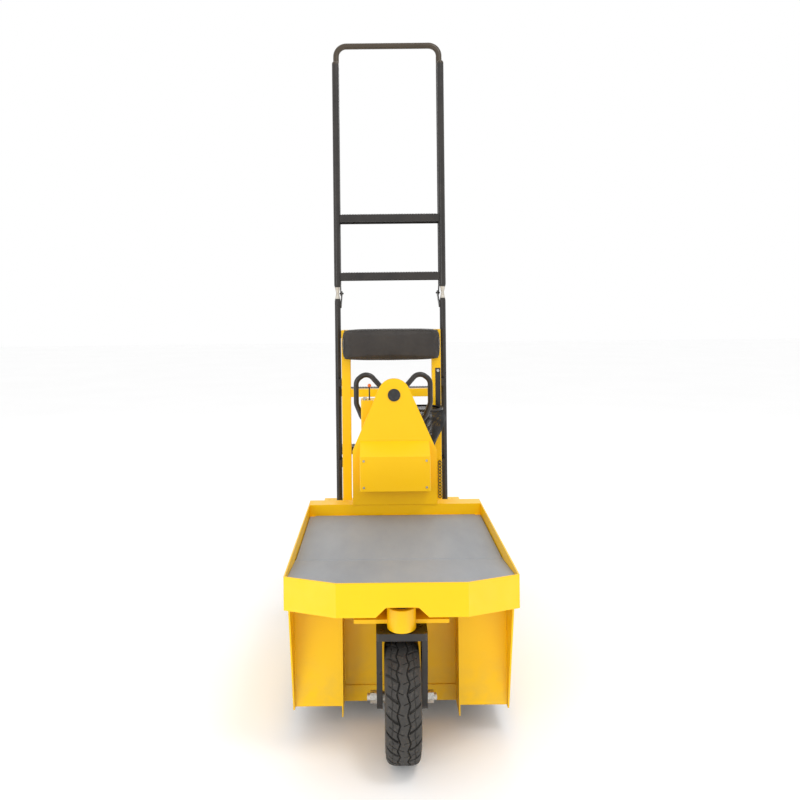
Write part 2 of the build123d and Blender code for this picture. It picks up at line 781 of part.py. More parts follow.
# ------------------------------------------------------------------ operator's platform
def make_platform():
    """Floor plate with its side sills, the mat on it, and two foot pedals on their pins."""
    narrow_half = arch_inside - 4
    with BuildPart() as plate:
        block((-skirt_inside, skirt_inside), (wall_y, platform_end), (rail_top, rail_top + sheet))
        block((-narrow_half, narrow_half), (platform_end, cover_y), (rail_top, rail_top + sheet))
        for name, sign in sides:
            block(between(sign, skirt_inside, rim_inside), (wall_y, platform_end),
                  (clearance_under, platform_top))
    save(plate, "platform_plate")

    edge = 4
    ear_half = 12
    mat_front = pedal_y + ear_half + edge
    with BuildPart() as mat:
        block((edge - skirt_inside, skirt_inside - edge), (mat_front, platform_end - edge),
              (rail_top + sheet, platform_top))
        block((edge - narrow_half, narrow_half - edge), (platform_end - edge, cover_y - edge),
              (rail_top + sheet, platform_top))
    save(mat, "platform_mat")

    pedal_width = 110
    pin_radius = 4
    for name, sign in (("brake", -1), ("presence", 1)):
        x = sign * pedal_x
        with BuildPart() as pedal:
            block((x - pedal_width / 2, x + pedal_width / 2), (pedal_y, pedal_y + pedal_length),
                  (pedal_z + 3, pedal_z + 9))
            rod((x, pedal_y, pedal_z), 9, pedal_width)
            rod((x, pedal_y, pedal_z), pin_radius + running_fit, 2 * pedal_width,
                mode=Mode.SUBTRACT)
        save(pedal, f"{name}_pedal")
    with BuildPart() as brackets:
        for name, sign in sides:
            x = sign * pedal_x
            rod((x, pedal_y, pedal_z), pin_radius, pedal_width + 14)
            for end in (-1, 1):
                ear = x + end * (pedal_width / 2 + 4)
                block((ear - 3, ear + 3), (pedal_y - ear_half, pedal_y + ear_half),
                      (rail_top + sheet, pedal_z + 8))
    save(brackets, "pedal_brackets")


def make_drive():
    """Transaxle standing on the rails, and the motor flanged to the back of it."""
    tube_radius = 42
    bulge_radius = 92
    neck_end = rear_axle_y + 100
    tube_half = arch_inside + 8
    with BuildPart() as transaxle:
        rod((0, rear_axle_y, axle_z), tube_radius, 2 * tube_half)
        rod((0, rear_axle_y, axle_z), bulge_radius, 170)
        rod((0, (rear_axle_y + neck_end) / 2, axle_z), 70, neck_end - rear_axle_y, "Y")
        for name, sign in sides:
            block(between(sign, rail_x - 22, rail_x + 22), (rear_axle_y - 30, rear_axle_y + 30),
                  (rail_top, axle_z))
        rod((0, rear_axle_y, axle_z), axle_radius + running_fit, body_width, mode=Mode.SUBTRACT)
    save(transaxle, "transaxle")

    motor_end = cover_end - 25
    with BuildPart() as motor:
        rod((0, (neck_end + motor_end) / 2, axle_z), 80, motor_end - neck_end, "Y")
        fillet(motor.edges().group_by(Axis.Y)[-1], radius=10)
    save(motor, "drive_motor")


def make_rear_body():
    """Drive cover, rear deck with turned-down edges, fenders round the wheels and bumper."""
    cover_x = arch_inside - 5
    deck_bottom = rear_deck_top - sheet
    with BuildPart() as cover:
        block((-cover_x, cover_x), (cover_y, cover_end), (rail_top, deck_bottom))
        block((sheet - cover_x, cover_x - sheet), (cover_y + sheet, cover_end - sheet),
              (rail_top - 1, deck_bottom - sheet), mode=Mode.SUBTRACT)
        rod((0, rear_axle_y, axle_z), 44, body_width, mode=Mode.SUBTRACT)
        for name, sign in sides:
            block(between(sign, rail_x - 25, rail_x + 25), (rear_axle_y - 32, rear_axle_y + 32),
                  (rail_top - 1, axle_z), mode=Mode.SUBTRACT)
    save(cover, "drive_cover")

    flange = 40
    with BuildPart() as deck:
        block((-rim_inside, rim_inside), (cover_y, cover_end), (deck_bottom, rear_deck_top))
        for name, sign in sides:
            block(between(sign, rim_inside - sheet, rim_inside), (cover_y, cover_end),
                  (rear_deck_top - flange, rear_deck_top))
        chamfer(deck.faces().sort_by(Axis.Z)[-1].edges(), length=chamfer_small)
    save(deck, "rear_deck")

    inner_radius = tyre_radius + 17
    arch_sheet = 4
    wall_thick = 3
    with BuildPart() as fenders:
        for name, sign in sides:
            arch_x = between(sign, arch_inside, rim_inside - sheet)
            wall_x = between(sign, arch_inside - wall_thick, arch_inside)
            for limits, hole in ((arch_x, inner_radius), (wall_x, 46)):
                with BuildSketch(Plane.YZ.offset(limits[0])):
                    with Locations((rear_axle_y, axle_z)):
                        Circle(inner_radius + arch_sheet)
                        Circle(hole, mode=Mode.SUBTRACT)
                    with Locations((rear_axle_y, platform_top + 1 - inner_radius)):
                        Rectangle(4 * inner_radius, 2 * inner_radius, mode=Mode.SUBTRACT)
                extrude(amount=limits[1] - limits[0])
    save(fenders, "fenders")

    with BuildPart() as bumper:
        block((-rim_inside + 20, rim_inside - 20), (cover_end, rear_end),
              (rear_deck_top - 120, rear_deck_top - 20))
        fillet(bumper.faces().sort_by(Axis.Y)[-1].edges(), radius=6)
    save(bumper, "rear_bumper")


def make_backrest():
    """Two square posts with the crossbar and board between them, and the pad."""
    front = post_y - post_size / 2
    inner = post_x - post_size / 2
    wall = 4
    with BuildPart() as frame:
        for name, sign in sides:
            block(between(sign, inner, inner + post_size), (front, front + post_size),
                  (rear_deck_top, post_top))
        fillet(frame.edges().filter_by(Axis.Z), radius=5)
        for name, sign in sides:
            block(between(sign, inner + wall, inner + post_size - wall),
                  (front + wall, front + post_size - wall),
                  (rear_deck_top - 1, post_top - wall), mode=Mode.SUBTRACT)
    save(frame, "backrest_posts")

    with BuildPart() as bar:
        block((-inner, inner), (post_y - 20, post_y + 20),
              (crossbar_bottom, crossbar_bottom + crossbar_height))
    save(bar, "crossbar")

    with BuildPart() as board:
        block((-pad_width / 2 + 12, pad_width / 2 - 12), (front - board_thick, front),
              (pad_bottom + 12, pad_bottom + pad_height - 12))
    save(board, "backrest_board")

    with BuildPart() as pad:
        block((-pad_width / 2, pad_width / 2),
              (front - board_thick - pad_thick, front - board_thick),
              (pad_bottom, pad_bottom + pad_height))
        fillet(pad.edges().filter_by(Axis.Y), radius=28)
        fillet(pad.faces().sort_by(Axis.Y)[0].edges(), radius=18)
    save(pad, "backrest_pad")


# ------------------------------------------------------------------ ladder
def make_tread(z, back_y):
    """One folded tread, coped round the tubes that it is welded between."""
    front_y = ladder_y - 10
    half = ladder_x - 2
    block((-half, half), (front_y, back_y), (z, z + tread_height))
    block((-half - 1, half + 1), (front_y + tread_sheet, back_y - tread_sheet),
          (z - 1, z + tread_height - tread_sheet), mode=Mode.SUBTRACT)


def make_lower_ladder():
    """Rails with standoffs, tapered tips and hinge brackets, and the three lower treads."""
    tip_bottom = knuckle_z - 0.5 - knuckle_height
    rail_length = tip_bottom - rear_deck_top
    post_back = post_y + post_size / 2
    plate_x = (bracket_face - hinge_plate, bracket_face)
    with BuildPart() as rails:
        for name, sign in sides:
            for z in (first_tread - 60, first_tread + tread_pitch + 60):
                block(between(sign, post_x, ladder_x), (post_back, ladder_y), (z, z + 40))
            rod((sign * ladder_x, ladder_y, rear_deck_top + rail_length / 2), rail_tube_radius,
                rail_length, "Z")
            with Locations((sign * ladder_x, ladder_y, tip_bottom + knuckle_height / 2)):
                Cone(rail_tube_radius, knuckle_waist, knuckle_height)
            with BuildSketch(Plane.YZ.offset(min(between(sign, *plate_x)))):
                with Locations((ladder_y, knuckle_z - 70)):
                    Circle(16)
                with Locations((pivot_y, knuckle_z)):
                    Circle(14)
                make_hull()
            extrude(amount=hinge_plate)
            block(between(sign, plate_x[0], ladder_x), (ladder_y - 12, ladder_y + 12),
                  (knuckle_z - 82, knuckle_z - 58))
            rod((sign * bracket_face, pivot_y, knuckle_z), pivot_radius, 24)
    save(rails, "ladder_rails")

    with BuildPart() as treads:
        for step in range(3):
            make_tread(first_tread + step * tread_pitch - 2, ladder_y + 80)
        for name, sign in sides:
            rod((sign * ladder_x, ladder_y, knuckle_z / 2), rail_tube_radius, knuckle_z, "Z",
                mode=Mode.SUBTRACT)
    save(treads, "lower_treads")


def make_upper_ladder():
    """Folding section: front tubes, the hoop behind them with its hinge ears, and treads."""
    tube_bottom = knuckle_z + knuckle_height
    tube_length = stile_top - tube_bottom
    hoop_y = ladder_y + hoop_offset
    with BuildPart() as tubes:
        for name, sign in sides:
            rod((sign * ladder_x, ladder_y, tube_bottom + tube_length / 2), stile_radius,
                tube_length, "Z")
        fillet(tubes.edges().group_by(Axis.Z)[-1], radius=stile_radius * 0.8)
        for name, sign in sides:
            with Locations((sign * ladder_x, ladder_y, knuckle_z + knuckle_height / 2)):
                Cone(knuckle_waist, stile_radius, knuckle_height)
            for z in (stile_top - 60, tube_bottom + 300):
                block(between(sign, ladder_x - 6, ladder_x + 6), (ladder_y, hoop_y),
                      (z, z + 30))
            rod((sign * ladder_x, hoop_y, stile_top), hoop_radius, 2 * tube_length, "Z",
                mode=Mode.SUBTRACT)
    save(tubes, "ladder_tubes")

    top = ladder_height - hoop_radius
    hoop_foot = tube_bottom + 6
    ear_x = bracket_face + lid_gap
    with BuildPart() as hoop:
        with BuildLine(across(hoop_y)):
            path = FilletPolyline((-ladder_x, hoop_foot), (-ladder_x, top), (ladder_x, top),
                                  (ladder_x, hoop_foot), radius=hoop_bend)
        with BuildSketch(Plane(origin=path @ 0, z_dir=path % 0)):
            Circle(hoop_radius)
        sweep()
        for name, sign in sides:
            with BuildSketch(Plane.YZ.offset(min(between(sign, ear_x, ear_x + hinge_plate)))):
                with Locations((hoop_y, tube_bottom + 12)):
                    Circle(12)
                with Locations((pivot_y, knuckle_z)):
                    Circle(14)
                make_hull()
                with Locations((pivot_y, knuckle_z)):
                    Circle(pivot_radius + running_fit, mode=Mode.SUBTRACT)
            extrude(amount=hinge_plate)
    save(hoop, "hand_hoop")

    with BuildPart() as treads:
        for step in (3, 4):
            make_tread(first_tread + step * tread_pitch - 4, hoop_y + 10)
        for name, sign in sides:
            block(between(sign, ladder_x - 3, ladder_x + 20), (ladder_y - 20, hoop_y + 20),
                  (first_tread, ladder_height), mode=Mode.SUBTRACT)
            for y, radius in ((ladder_y, stile_radius), (hoop_y, hoop_radius)):
                rod((sign * ladder_x, y, stile_top), radius, stile_top, "Z", mode=Mode.SUBTRACT)
    save(treads, "fold_treads")


# ------------------------------------------------------------------ basket and trim
def make_basket():
    """Pot-shaped mesh basket in a ring that hangs by a strap from the right post."""
    rim = 90
    belly = 113
    foot = 56
    wall = 3
    lip = 6
    height = 215
    mouth_z = 1036
    centre = (170, post_y - 145)
    with BuildPart() as basket:
        with BuildSketch(Plane.XZ):
            with BuildLine():
                Line((0, -height), (foot, -height))
                Spline((foot, -height), (belly - 8, -height * 0.6),
                              (belly, -height * 0.36), (rim, 0))
                Polyline((rim, 0), (rim + lip, 0), (rim + lip, wall), (rim - wall, wall),
                         (rim - wall, 0))
                Spline((rim - wall, 0), (belly - wall, -height * 0.36),
                               (belly - wall - 8, -height * 0.6), (foot - wall, wall - height))
                Polyline((foot - wall, wall - height), (0, wall - height), (0, -height))
            make_face()
        revolve(axis=Axis.Z)
    basket.part = basket.part.moved(Location((*centre, mouth_z)))
    save(basket, "mesh_basket")

    strap_x = (244, 272)
    post_face = post_y - post_size / 2
    ring_low = mouth_z - 10
    with BuildPart() as hanger:
        rod((*centre, mouth_z - 5), rim + 14, 10, "Z")
        block(strap_x, (centre[1], post_face), (ring_low, ring_low + 4))
        block(strap_x, (post_face - 3, post_face), (ring_low, strap_top))
        rod((*centre, mouth_z - 5), rim + 8, 12, "Z", mode=Mode.SUBTRACT)
        for angle in (0, 90, 180, 270):
            tab = Location((*centre, mouth_z - 2), (0, 0, angle + 45))
            with Locations(tab * Location((rim + 7, 0, 0))):
                Box(8, 12, 4)
    save(hanger, "basket_hanger")


def make_trim():
    """Safety chain on the right post, and the screw heads that show."""
    link_wire = 2.2
    link_pitch = 17
    link_half = 8
    chain_x = 262
    chain_y = post_y - post_size / 2 - 12
    with BuildPart() as chain:
        rod((chain_x, chain_y + 5, 722), 3, 14, "Y")
        for index in range(12):
            turn = 0 if index % 2 else 90
            place = Location((chain_x, chain_y, 714 - index * link_pitch), (90, 0, turn))
            with Locations(place):
                Torus(link_half, link_wire)
    save(chain, "safety_chain")

    head_y = tower_y - cover_depth
    post_face = post_y - post_size / 2 - 3
    screws = [(x, head_y, z) for x in (-cover_half + 18, cover_half - 18)
              for z in (cover_bottom + 18, cover_fold - 18)]
    with BuildPart() as heads:
        for x, y, z in screws:
            rod((x, y - 1.5, z), 5, 3, "Y")
        rod(((244 + 272) / 2, post_face - 2, strap_top - 14), 8, 4, "Y")
    save(heads, "screw_heads")


make_platform()
make_drive()
make_rear_body()
make_backrest()
make_lower_ladder()
make_upper_ladder()
make_basket()
make_trim()
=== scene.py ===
"""Looks of a three-wheel stand-up electric picking truck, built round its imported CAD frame.

Metres, +Z up, the truck faces -Y.  The scripts below make the tyres with their tread, the
upholstered backrest, the woven basket and the step grips, and give every piece its material.
"""

import json
import math

import bmesh
import bpy
import numpy as np
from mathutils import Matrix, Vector


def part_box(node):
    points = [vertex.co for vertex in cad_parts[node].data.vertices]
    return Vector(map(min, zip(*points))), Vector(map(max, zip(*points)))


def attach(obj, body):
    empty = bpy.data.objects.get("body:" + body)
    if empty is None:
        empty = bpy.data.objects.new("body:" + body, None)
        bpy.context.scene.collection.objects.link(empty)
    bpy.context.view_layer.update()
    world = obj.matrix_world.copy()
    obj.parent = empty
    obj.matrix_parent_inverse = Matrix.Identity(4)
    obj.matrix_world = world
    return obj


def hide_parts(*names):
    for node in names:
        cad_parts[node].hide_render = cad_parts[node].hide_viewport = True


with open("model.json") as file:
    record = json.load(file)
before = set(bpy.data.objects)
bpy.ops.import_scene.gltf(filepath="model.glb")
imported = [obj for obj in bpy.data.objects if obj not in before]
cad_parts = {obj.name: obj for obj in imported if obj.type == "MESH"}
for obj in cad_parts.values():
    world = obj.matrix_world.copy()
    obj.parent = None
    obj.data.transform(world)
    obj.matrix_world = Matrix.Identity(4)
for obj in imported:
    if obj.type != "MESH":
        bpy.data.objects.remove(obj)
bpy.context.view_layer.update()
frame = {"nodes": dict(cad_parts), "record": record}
record = frame["record"]

MM = 0.001
SIDES = (-1.0, 1.0)


# ------------------------------------------------------------------ mesh helpers
def mesh_object(name, points, faces, smooth=True):
    """An object from an array of points and an array of faces, with its place in its mesh."""
    mesh = bpy.data.meshes.new(name)
    mesh.from_pydata(np.asarray(points, dtype=float).tolist(), [], np.asarray(faces).tolist())
    mesh.update()
    if smooth:
        mesh.shade_smooth()
    piece = bpy.data.objects.new(name, mesh)
    bpy.context.collection.objects.link(piece)
    return piece


def grid_faces(rows, columns, wrap_rows=False):
    """Quads over a grid of points stored row by row, its columns closed into rings."""
    row = np.arange(rows if wrap_rows else rows - 1)
    r, c = np.meshgrid(row, np.arange(columns), indexing="ij")
    r_next = (r + 1) % rows
    c_next = (c + 1) % columns
    quads = np.stack([r * columns + c, r * columns + c_next,
                      r_next * columns + c_next, r_next * columns + c], axis=-1)
    return quads.reshape(-1, 4)


def row_first_faces(rows, columns, wrap_rows=True):
    """Quads over a grid open along its columns, each wound the other way from grid_faces."""
    row = np.arange(rows if wrap_rows else rows - 1)
    r, c = np.meshgrid(row, np.arange(columns - 1), indexing="ij")
    r_next = (r + 1) % rows
    return np.stack([r * columns + c, r_next * columns + c, r_next * columns + c + 1,
                     r * columns + c + 1], axis=-1).reshape(-1, 4)


def tubes(paths, radius, sides=6):
    """Round tubes along several paths: each ring lies across its path, and the ends are closed.

    paths is an array (tube, point, 3).  A ring's two directions are the cross products of the
    path's tangent with a fixed direction that the path never follows.
    """
    paths = np.asarray(paths, dtype=float)
    count, length, _ = paths.shape
    tangent = np.gradient(paths, axis=1)
    tangent /= np.linalg.norm(tangent, axis=2, keepdims=True)
    fixed = np.array((0.31, 0.17, 0.93))
    side = np.cross(tangent, fixed)
    side /= np.linalg.norm(side, axis=2, keepdims=True)
    lift = np.cross(tangent, side)
    turn = np.linspace(0, 2 * math.pi, sides, endpoint=False)
    ring = (side[:, :, None] * np.cos(turn)[:, None] + lift[:, :, None] * np.sin(turn)[:, None])
    points = paths[:, :, None] + radius * ring
    quads = grid_faces(length, sides)
    offsets = np.arange(count)[:, None, None] * length * sides
    faces = (quads[None] + offsets).reshape(-1, 4).tolist()
    for index in range(count):
        start = index * length * sides
        faces.append(list(range(start, start + sides)))
        last = start + (length - 1) * sides
        faces.append(list(range(last + sides - 1, last - 1, -1)))
    return points.reshape(-1, 3), faces


def tube_object(name, paths, radius, sides=6):
    """Tubes as one object."""
    points, faces = tubes(paths, radius, sides)
    mesh = bpy.data.meshes.new(name)
    mesh.from_pydata(points.tolist(), [], faces)
    mesh.update()
    mesh.shade_smooth()
    piece = bpy.data.objects.new(name, mesh)
    bpy.context.collection.objects.link(piece)
    return piece


def centre_of(node):
    """Middle of a node's box."""
    low, high = (np.array(corner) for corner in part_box(node))
    return (low + high) / 2


# ------------------------------------------------------------------ shader helpers
class Shader:
    """A procedural material being built: its node tree and its Principled shader."""

    def __init__(self, name, roughness=0.5, metallic=0.0):
        self.material = bpy.data.materials.new(name)
        self.material.use_nodes = True
        self.nodes = self.material.node_tree.nodes
        self.links = self.material.node_tree.links
        self.bsdf = self.nodes["Principled BSDF"]
        self.bsdf.inputs["Roughness"].default_value = roughness
        self.bsdf.inputs["Metallic"].default_value = metallic
        self.point = self.nodes.new("ShaderNodeTexCoord").outputs["Object"]

    def feed(self, socket, value):
        """Links a node's output to a socket, or sets the socket to a plain value."""
        if isinstance(value, bpy.types.NodeSocket):
            self.links.new(value, socket)
        elif isinstance(value, tuple) and len(value) == 3 and socket.type == "RGBA":
            socket.default_value = (*value, 1.0)
        else:
            socket.default_value = value

    def stretched(self, scale):
        """Object coordinates scaled apart along X, Y and Z."""
        mapping = self.nodes.new("ShaderNodeMapping")
        mapping.inputs["Scale"].default_value = scale
        self.links.new(self.point, mapping.inputs["Vector"])
        return mapping.outputs["Vector"]

    def noise(self, scale, detail=3.0, roughness=0.55, stretch=None):
        node = self.nodes.new("ShaderNodeTexNoise")
        node.inputs["Scale"].default_value = scale
        node.inputs["Detail"].default_value = detail
        node.inputs["Roughness"].default_value = roughness
        self.links.new(self.stretched(stretch) if stretch else self.point, node.inputs["Vector"])
        return node.outputs["Fac"]

    def cells(self, scale, feature="F1", stretch=None):
        node = self.nodes.new("ShaderNodeTexVoronoi")
        node.feature = feature
        node.inputs["Scale"].default_value = scale
        self.links.new(self.stretched(stretch) if stretch else self.point, node.inputs["Vector"])
        return node.outputs["Distance"]

    def stripes(self, scale, direction="X", distortion=0.0):
        node = self.nodes.new("ShaderNodeTexWave")
        node.bands_direction = direction
        node.inputs["Scale"].default_value = scale
        node.inputs["Distortion"].default_value = distortion
        self.links.new(self.point, node.inputs["Vector"])
        return node.outputs["Fac"]

    def span(self, value, low, high, out_low=0.0, out_high=1.0):
        """Stretches a value between two limits over another range, and clamps it."""
        node = self.nodes.new("ShaderNodeMapRange")
        for key, number in (("From Min", low), ("From Max", high),
                            ("To Min", out_low), ("To Max", out_high)):
            node.inputs[key].default_value = number
        self.links.new(value, node.inputs["Value"])
        return node.outputs["Result"]

    def maths(self, operation, first, second=0.0):
        node = self.nodes.new("ShaderNodeMath")
        node.operation = operation
        self.feed(node.inputs[0], first)
        self.feed(node.inputs[1], second)
        return node.outputs[0]

    def axis(self, name):
        """One Object coordinate."""
        node = self.nodes.new("ShaderNodeSeparateXYZ")
        self.links.new(self.point, node.inputs[0])
        return node.outputs[name]

    def mix(self, factor, first, second):
        """Colour between two colours."""
        node = self.nodes.new("ShaderNodeMix")
        node.data_type = "RGBA"
        self.feed(node.inputs["Factor"], factor)
        self.feed(node.inputs[6], first)
        self.feed(node.inputs[7], second)
        return node.outputs[2]

    def colour(self, value):
        self.feed(self.bsdf.inputs["Base Color"], value)

    def roughness(self, value):
        self.feed(self.bsdf.inputs["Roughness"], value)

    def metallic(self, value):
        self.feed(self.bsdf.inputs["Metallic"], value)

    def edge_mask(self, radius, amount=0.05):
        """Near 1 along outer edges: where a rounded normal leaves the true one."""
        bevel = self.nodes.new("ShaderNodeBevel")
        bevel.samples = 4
        bevel.inputs["Radius"].default_value = radius
        true_normal = self.nodes.new("ShaderNodeNewGeometry").outputs["Normal"]
        dot = self.nodes.new("ShaderNodeVectorMath")
        dot.operation = "DOT_PRODUCT"
        self.links.new(bevel.outputs["Normal"], dot.inputs[0])
        self.links.new(true_normal, dot.inputs[1])
        return self.span(dot.outputs["Value"], 1.0 - amount, 1.0 - 4.0 * amount)

    def relief(self, height, strength, distance, rounded=0.0):
        """Bump from a height, over edges rounded by a small radius."""
        bump = self.nodes.new("ShaderNodeBump")
        bump.inputs["Strength"].default_value = strength
        bump.inputs["Distance"].default_value = distance
        self.links.new(height, bump.inputs["Height"])
        if rounded:
            bevel = self.nodes.new("ShaderNodeBevel")
            bevel.samples = 4
            bevel.inputs["Radius"].default_value = rounded
            self.links.new(bevel.outputs["Normal"], bump.inputs["Normal"])
        self.links.new(bump.outputs["Normal"], self.bsdf.inputs["Normal"])


# ------------------------------------------------------------------ materials
def yellow_paint():
    """Thick semi-gloss powder coat: orange peel, faint patches, dust low down, chipped edges."""
    shader = Shader("yellow_powder_coat", roughness=0.38)
    patches = shader.span(shader.noise(3.0, 4.0), 0.35, 0.7)
    paint = shader.mix(patches, (0.96, 0.57, 0.0), (0.94, 0.53, 0.0))
    scuffs = shader.span(shader.noise(60.0, 6.0, 0.7, (1.0, 1.0, 3.0)), 0.62, 0.72)
    paint = shader.mix(shader.maths("MULTIPLY", scuffs, 0.18), paint, (0.62, 0.33, 0.02))
    low = shader.span(shader.axis("Z"), 0.32, 0.08)
    dust = shader.maths("MULTIPLY", low, shader.span(shader.noise(14.0, 5.0), 0.35, 0.75, 0.0, 0.35))
    paint = shader.mix(dust, paint, (0.42, 0.31, 0.14))
    chips = shader.span(shader.noise(220.0, 4.0, 0.7), 0.56, 0.6)
    wear = shader.maths("MULTIPLY", shader.edge_mask(0.0016), chips)
    shader.colour(shader.mix(shader.maths("MULTIPLY", wear, 0.7), paint, (0.2, 0.15, 0.1)))
    shader.roughness(shader.span(shader.noise(25.0, 4.0), 0.3, 0.7, 0.28, 0.46))
    shader.bsdf.inputs["Specular IOR Level"].default_value = 0.3
    shader.bsdf.inputs["Coat Weight"].default_value = 0.08
    shader.bsdf.inputs["Coat Roughness"].default_value = 0.2
    peel = shader.maths("ADD", shader.noise(260.0, 2.0), shader.maths("MULTIPLY", wear, -0.8))
    shader.relief(peel, 0.12, 0.0008, rounded=0.0016)
    return shader.material


def black_paint(name="black_powder_coat"):
    """Satin black coat, slightly brown, its gloss varying in patches, with chipped edges."""
    shader = Shader(name, roughness=0.4)
    patches = shader.span(shader.noise(9.0, 4.0), 0.3, 0.75)
    paint = shader.mix(patches, (0.013, 0.011, 0.010), (0.028, 0.023, 0.019))
    chips = shader.span(shader.noise(180.0, 5.0, 0.7), 0.6, 0.64)
    wear = shader.maths("MULTIPLY", shader.edge_mask(0.0014), chips)
    shader.colour(shader.mix(wear, paint, (0.24, 0.22, 0.2)))
    shader.roughness(shader.span(shader.noise(40.0, 4.0), 0.3, 0.7, 0.24, 0.44))
    shader.relief(shader.noise(420.0, 2.0), 0.14, 0.0006, rounded=0.0012)
    return shader, paint


def ladder_paint():
    """Black tube coat that gives way to bright zinc on the tapered knuckles of the ladder, with a
    painted highlight as a faint bronze tint at the tube tops.
    """
    shader, paint = black_paint("ladder_black_and_zinc")
    low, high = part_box("ladder_tubes")
    knuckle = low[2]
    height = shader.axis("Z")
    reach = shader.maths("ABSOLUTE", shader.maths("SUBTRACT", height, knuckle))
    bright = shader.span(reach, 0.034, 0.031)
    front = shader.span(shader.axis("Y"), low[1] + 0.046, low[1] + 0.044)
    bright = shader.maths("MULTIPLY", bright, front)
    # A faint bronze tint at the tops of the tubes is a painted highlight.
    top = shader.span(height, high[2] - 0.024, high[2] - 0.012)
    grain = shader.noise(120.0, 5.0, 0.6)
    zinc = shader.mix(shader.span(grain, 0.4, 0.7), (0.66, 0.62, 0.55), (0.42, 0.37, 0.3))
    shader.colour(shader.mix(bright, shader.mix(shader.maths("MULTIPLY", top, 0.1), paint,
                                                (0.35, 0.22, 0.08)), zinc))
    shader.metallic(shader.maths("MULTIPLY", bright, 0.9))
    return shader.material


def grey_mat():
    """Grey rubber deck mat: fine pebbled face, with long soft lighter bands that are painted
    reflections.
    """
    shader = Shader("grey_deck_mat", roughness=0.55)
    # Long soft lighter bands: painted reflections; the same pattern also makes the mat smoother there.
    painted_reflection_streaks = shader.span(shader.noise(5.0, 4.0, 0.6, (1.0, 0.35, 1.0)), 0.3, 0.72)
    base = shader.mix(painted_reflection_streaks, (0.255, 0.268, 0.287), (0.305, 0.318, 0.337))
    marks = shader.span(shader.noise(38.0, 6.0, 0.75, (0.5, 1.4, 1.0)), 0.64, 0.74)
    base = shader.mix(shader.maths("MULTIPLY", marks, 0.3), base, (0.22, 0.225, 0.235))
    specks = shader.span(shader.cells(420.0), 0.1, 0.02)
    shader.colour(shader.mix(shader.maths("MULTIPLY", specks, 0.3), base, (0.2, 0.2, 0.21)))
    shader.roughness(shader.span(painted_reflection_streaks, 0.0, 1.0, 0.62, 0.45))
    shader.relief(shader.cells(330.0, "SMOOTH_F1"), 0.35, 0.0012, rounded=0.001)
    return shader.material


def black_mat():
    """Ribbed black floor mat with grey dust between the ribs."""
    shader = Shader("ribbed_floor_mat", roughness=0.75)
    ribs = shader.stripes(32.0, "X")
    dust = shader.maths("MULTIPLY", shader.span(ribs, 0.5, 0.1),
                        shader.span(shader.noise(12.0, 5.0), 0.35, 0.7))
    shader.colour(shader.mix(shader.maths("MULTIPLY", dust, 0.6), (0.022, 0.022, 0.022),
                             (0.14, 0.13, 0.115)))
    shader.roughness(shader.span(shader.noise(30.0, 3.0), 0.3, 0.7, 0.62, 0.85))
    shader.relief(ribs, 0.7, 0.0025, rounded=0.001)
    return shader.material


def tyre_rubber():
    """Matte tread rubber, mottled, with patches of dust."""
    shader = Shader("tyre_rubber", roughness=0.8)
    mottled = shader.span(shader.noise(26.0, 6.0, 0.65), 0.3, 0.72)
    base = shader.mix(mottled, (0.024, 0.022, 0.02), (0.052, 0.048, 0.043))
    dust = shader.span(shader.noise(95.0, 5.0, 0.7), 0.55, 0.72)
    shader.colour(shader.mix(shader.maths("MULTIPLY", dust, 0.4), base, (0.15, 0.13, 0.105)))
    shader.roughness(shader.span(mottled, 0.0, 1.0, 0.66, 0.88))
    shader.relief(shader.noise(520.0, 4.0, 0.7), 0.3, 0.0007)
    return shader.material


def rim_paint():
    """Pale wheel enamel with brake dust and stains in patches."""
    shader = Shader("wheel_enamel", roughness=0.42)
    stains = shader.span(shader.noise(34.0, 6.0, 0.7), 0.42, 0.7)
    grime = shader.span(shader.noise(9.0, 4.0), 0.35, 0.75)
    base = shader.mix(grime, (0.6, 0.59, 0.55), (0.45, 0.43, 0.38))
    wear = shader.maths("MULTIPLY", shader.edge_mask(0.0015), 0.6)
    base = shader.mix(shader.maths("MULTIPLY", stains, 0.45), base, (0.17, 0.13, 0.09))
    shader.colour(shader.mix(wear, base, (0.2, 0.17, 0.14)))
    shader.roughness(shader.span(stains, 0.0, 1.0, 0.34, 0.6))
    shader.relief(shader.noise(240.0, 3.0), 0.15, 0.0006, rounded=0.0012)
    return shader.material


def zinc():
    """Plated steel: cloudy spangle, brown spots in the plating, brighter corners."""
    shader = Shader("zinc_plate", roughness=0.34, metallic=0.92)
    cloud = shader.span(shader.cells(130.0), 0.1, 0.9)
    base = shader.mix(cloud, (0.62, 0.6, 0.55), (0.4, 0.38, 0.34))
    spots = shader.span(shader.noise(210.0, 6.0, 0.75), 0.6, 0.68)
    base = shader.mix(shader.maths("MULTIPLY", spots, 0.7), base, (0.24, 0.13, 0.06))
    shader.colour(shader.mix(shader.maths("MULTIPLY", shader.edge_mask(0.001), 0.5), base,
                             (0.8, 0.78, 0.74)))
    shader.roughness(shader.span(cloud, 0.0, 1.0, 0.26, 0.48))
    shader.relief(shader.noise(300.0, 4.0, 0.7), 0.15, 0.0005, rounded=0.0008)
    return shader.material


def vinyl():
    """Dark brown-black grained vinyl, its gloss varying in patches."""
    shader = Shader("dark_vinyl", roughness=0.45)
    tone = shader.span(shader.noise(12.0, 5.0), 0.3, 0.72)
    base = shader.mix(tone, (0.016, 0.012, 0.0095), (0.034, 0.026, 0.02))
    pores = shader.cells(560.0, "DISTANCE_TO_EDGE")
    shader.colour(shader.mix(shader.span(pores, 0.05, 0.0, 0.0, 0.6), base, (0.008, 0.006, 0.005)))
    shader.roughness(shader.span(shader.noise(60.0, 4.0), 0.3, 0.7, 0.36, 0.56))
    shader.bsdf.inputs["Sheen Weight"].default_value = 0.08
    grain = shader.maths("ADD", shader.span(pores, 0.0, 0.12),
                         shader.maths("MULTIPLY", shader.noise(90.0, 4.0), 0.8))
    shader.relief(grain, 0.4, 0.0008)
    return shader.material


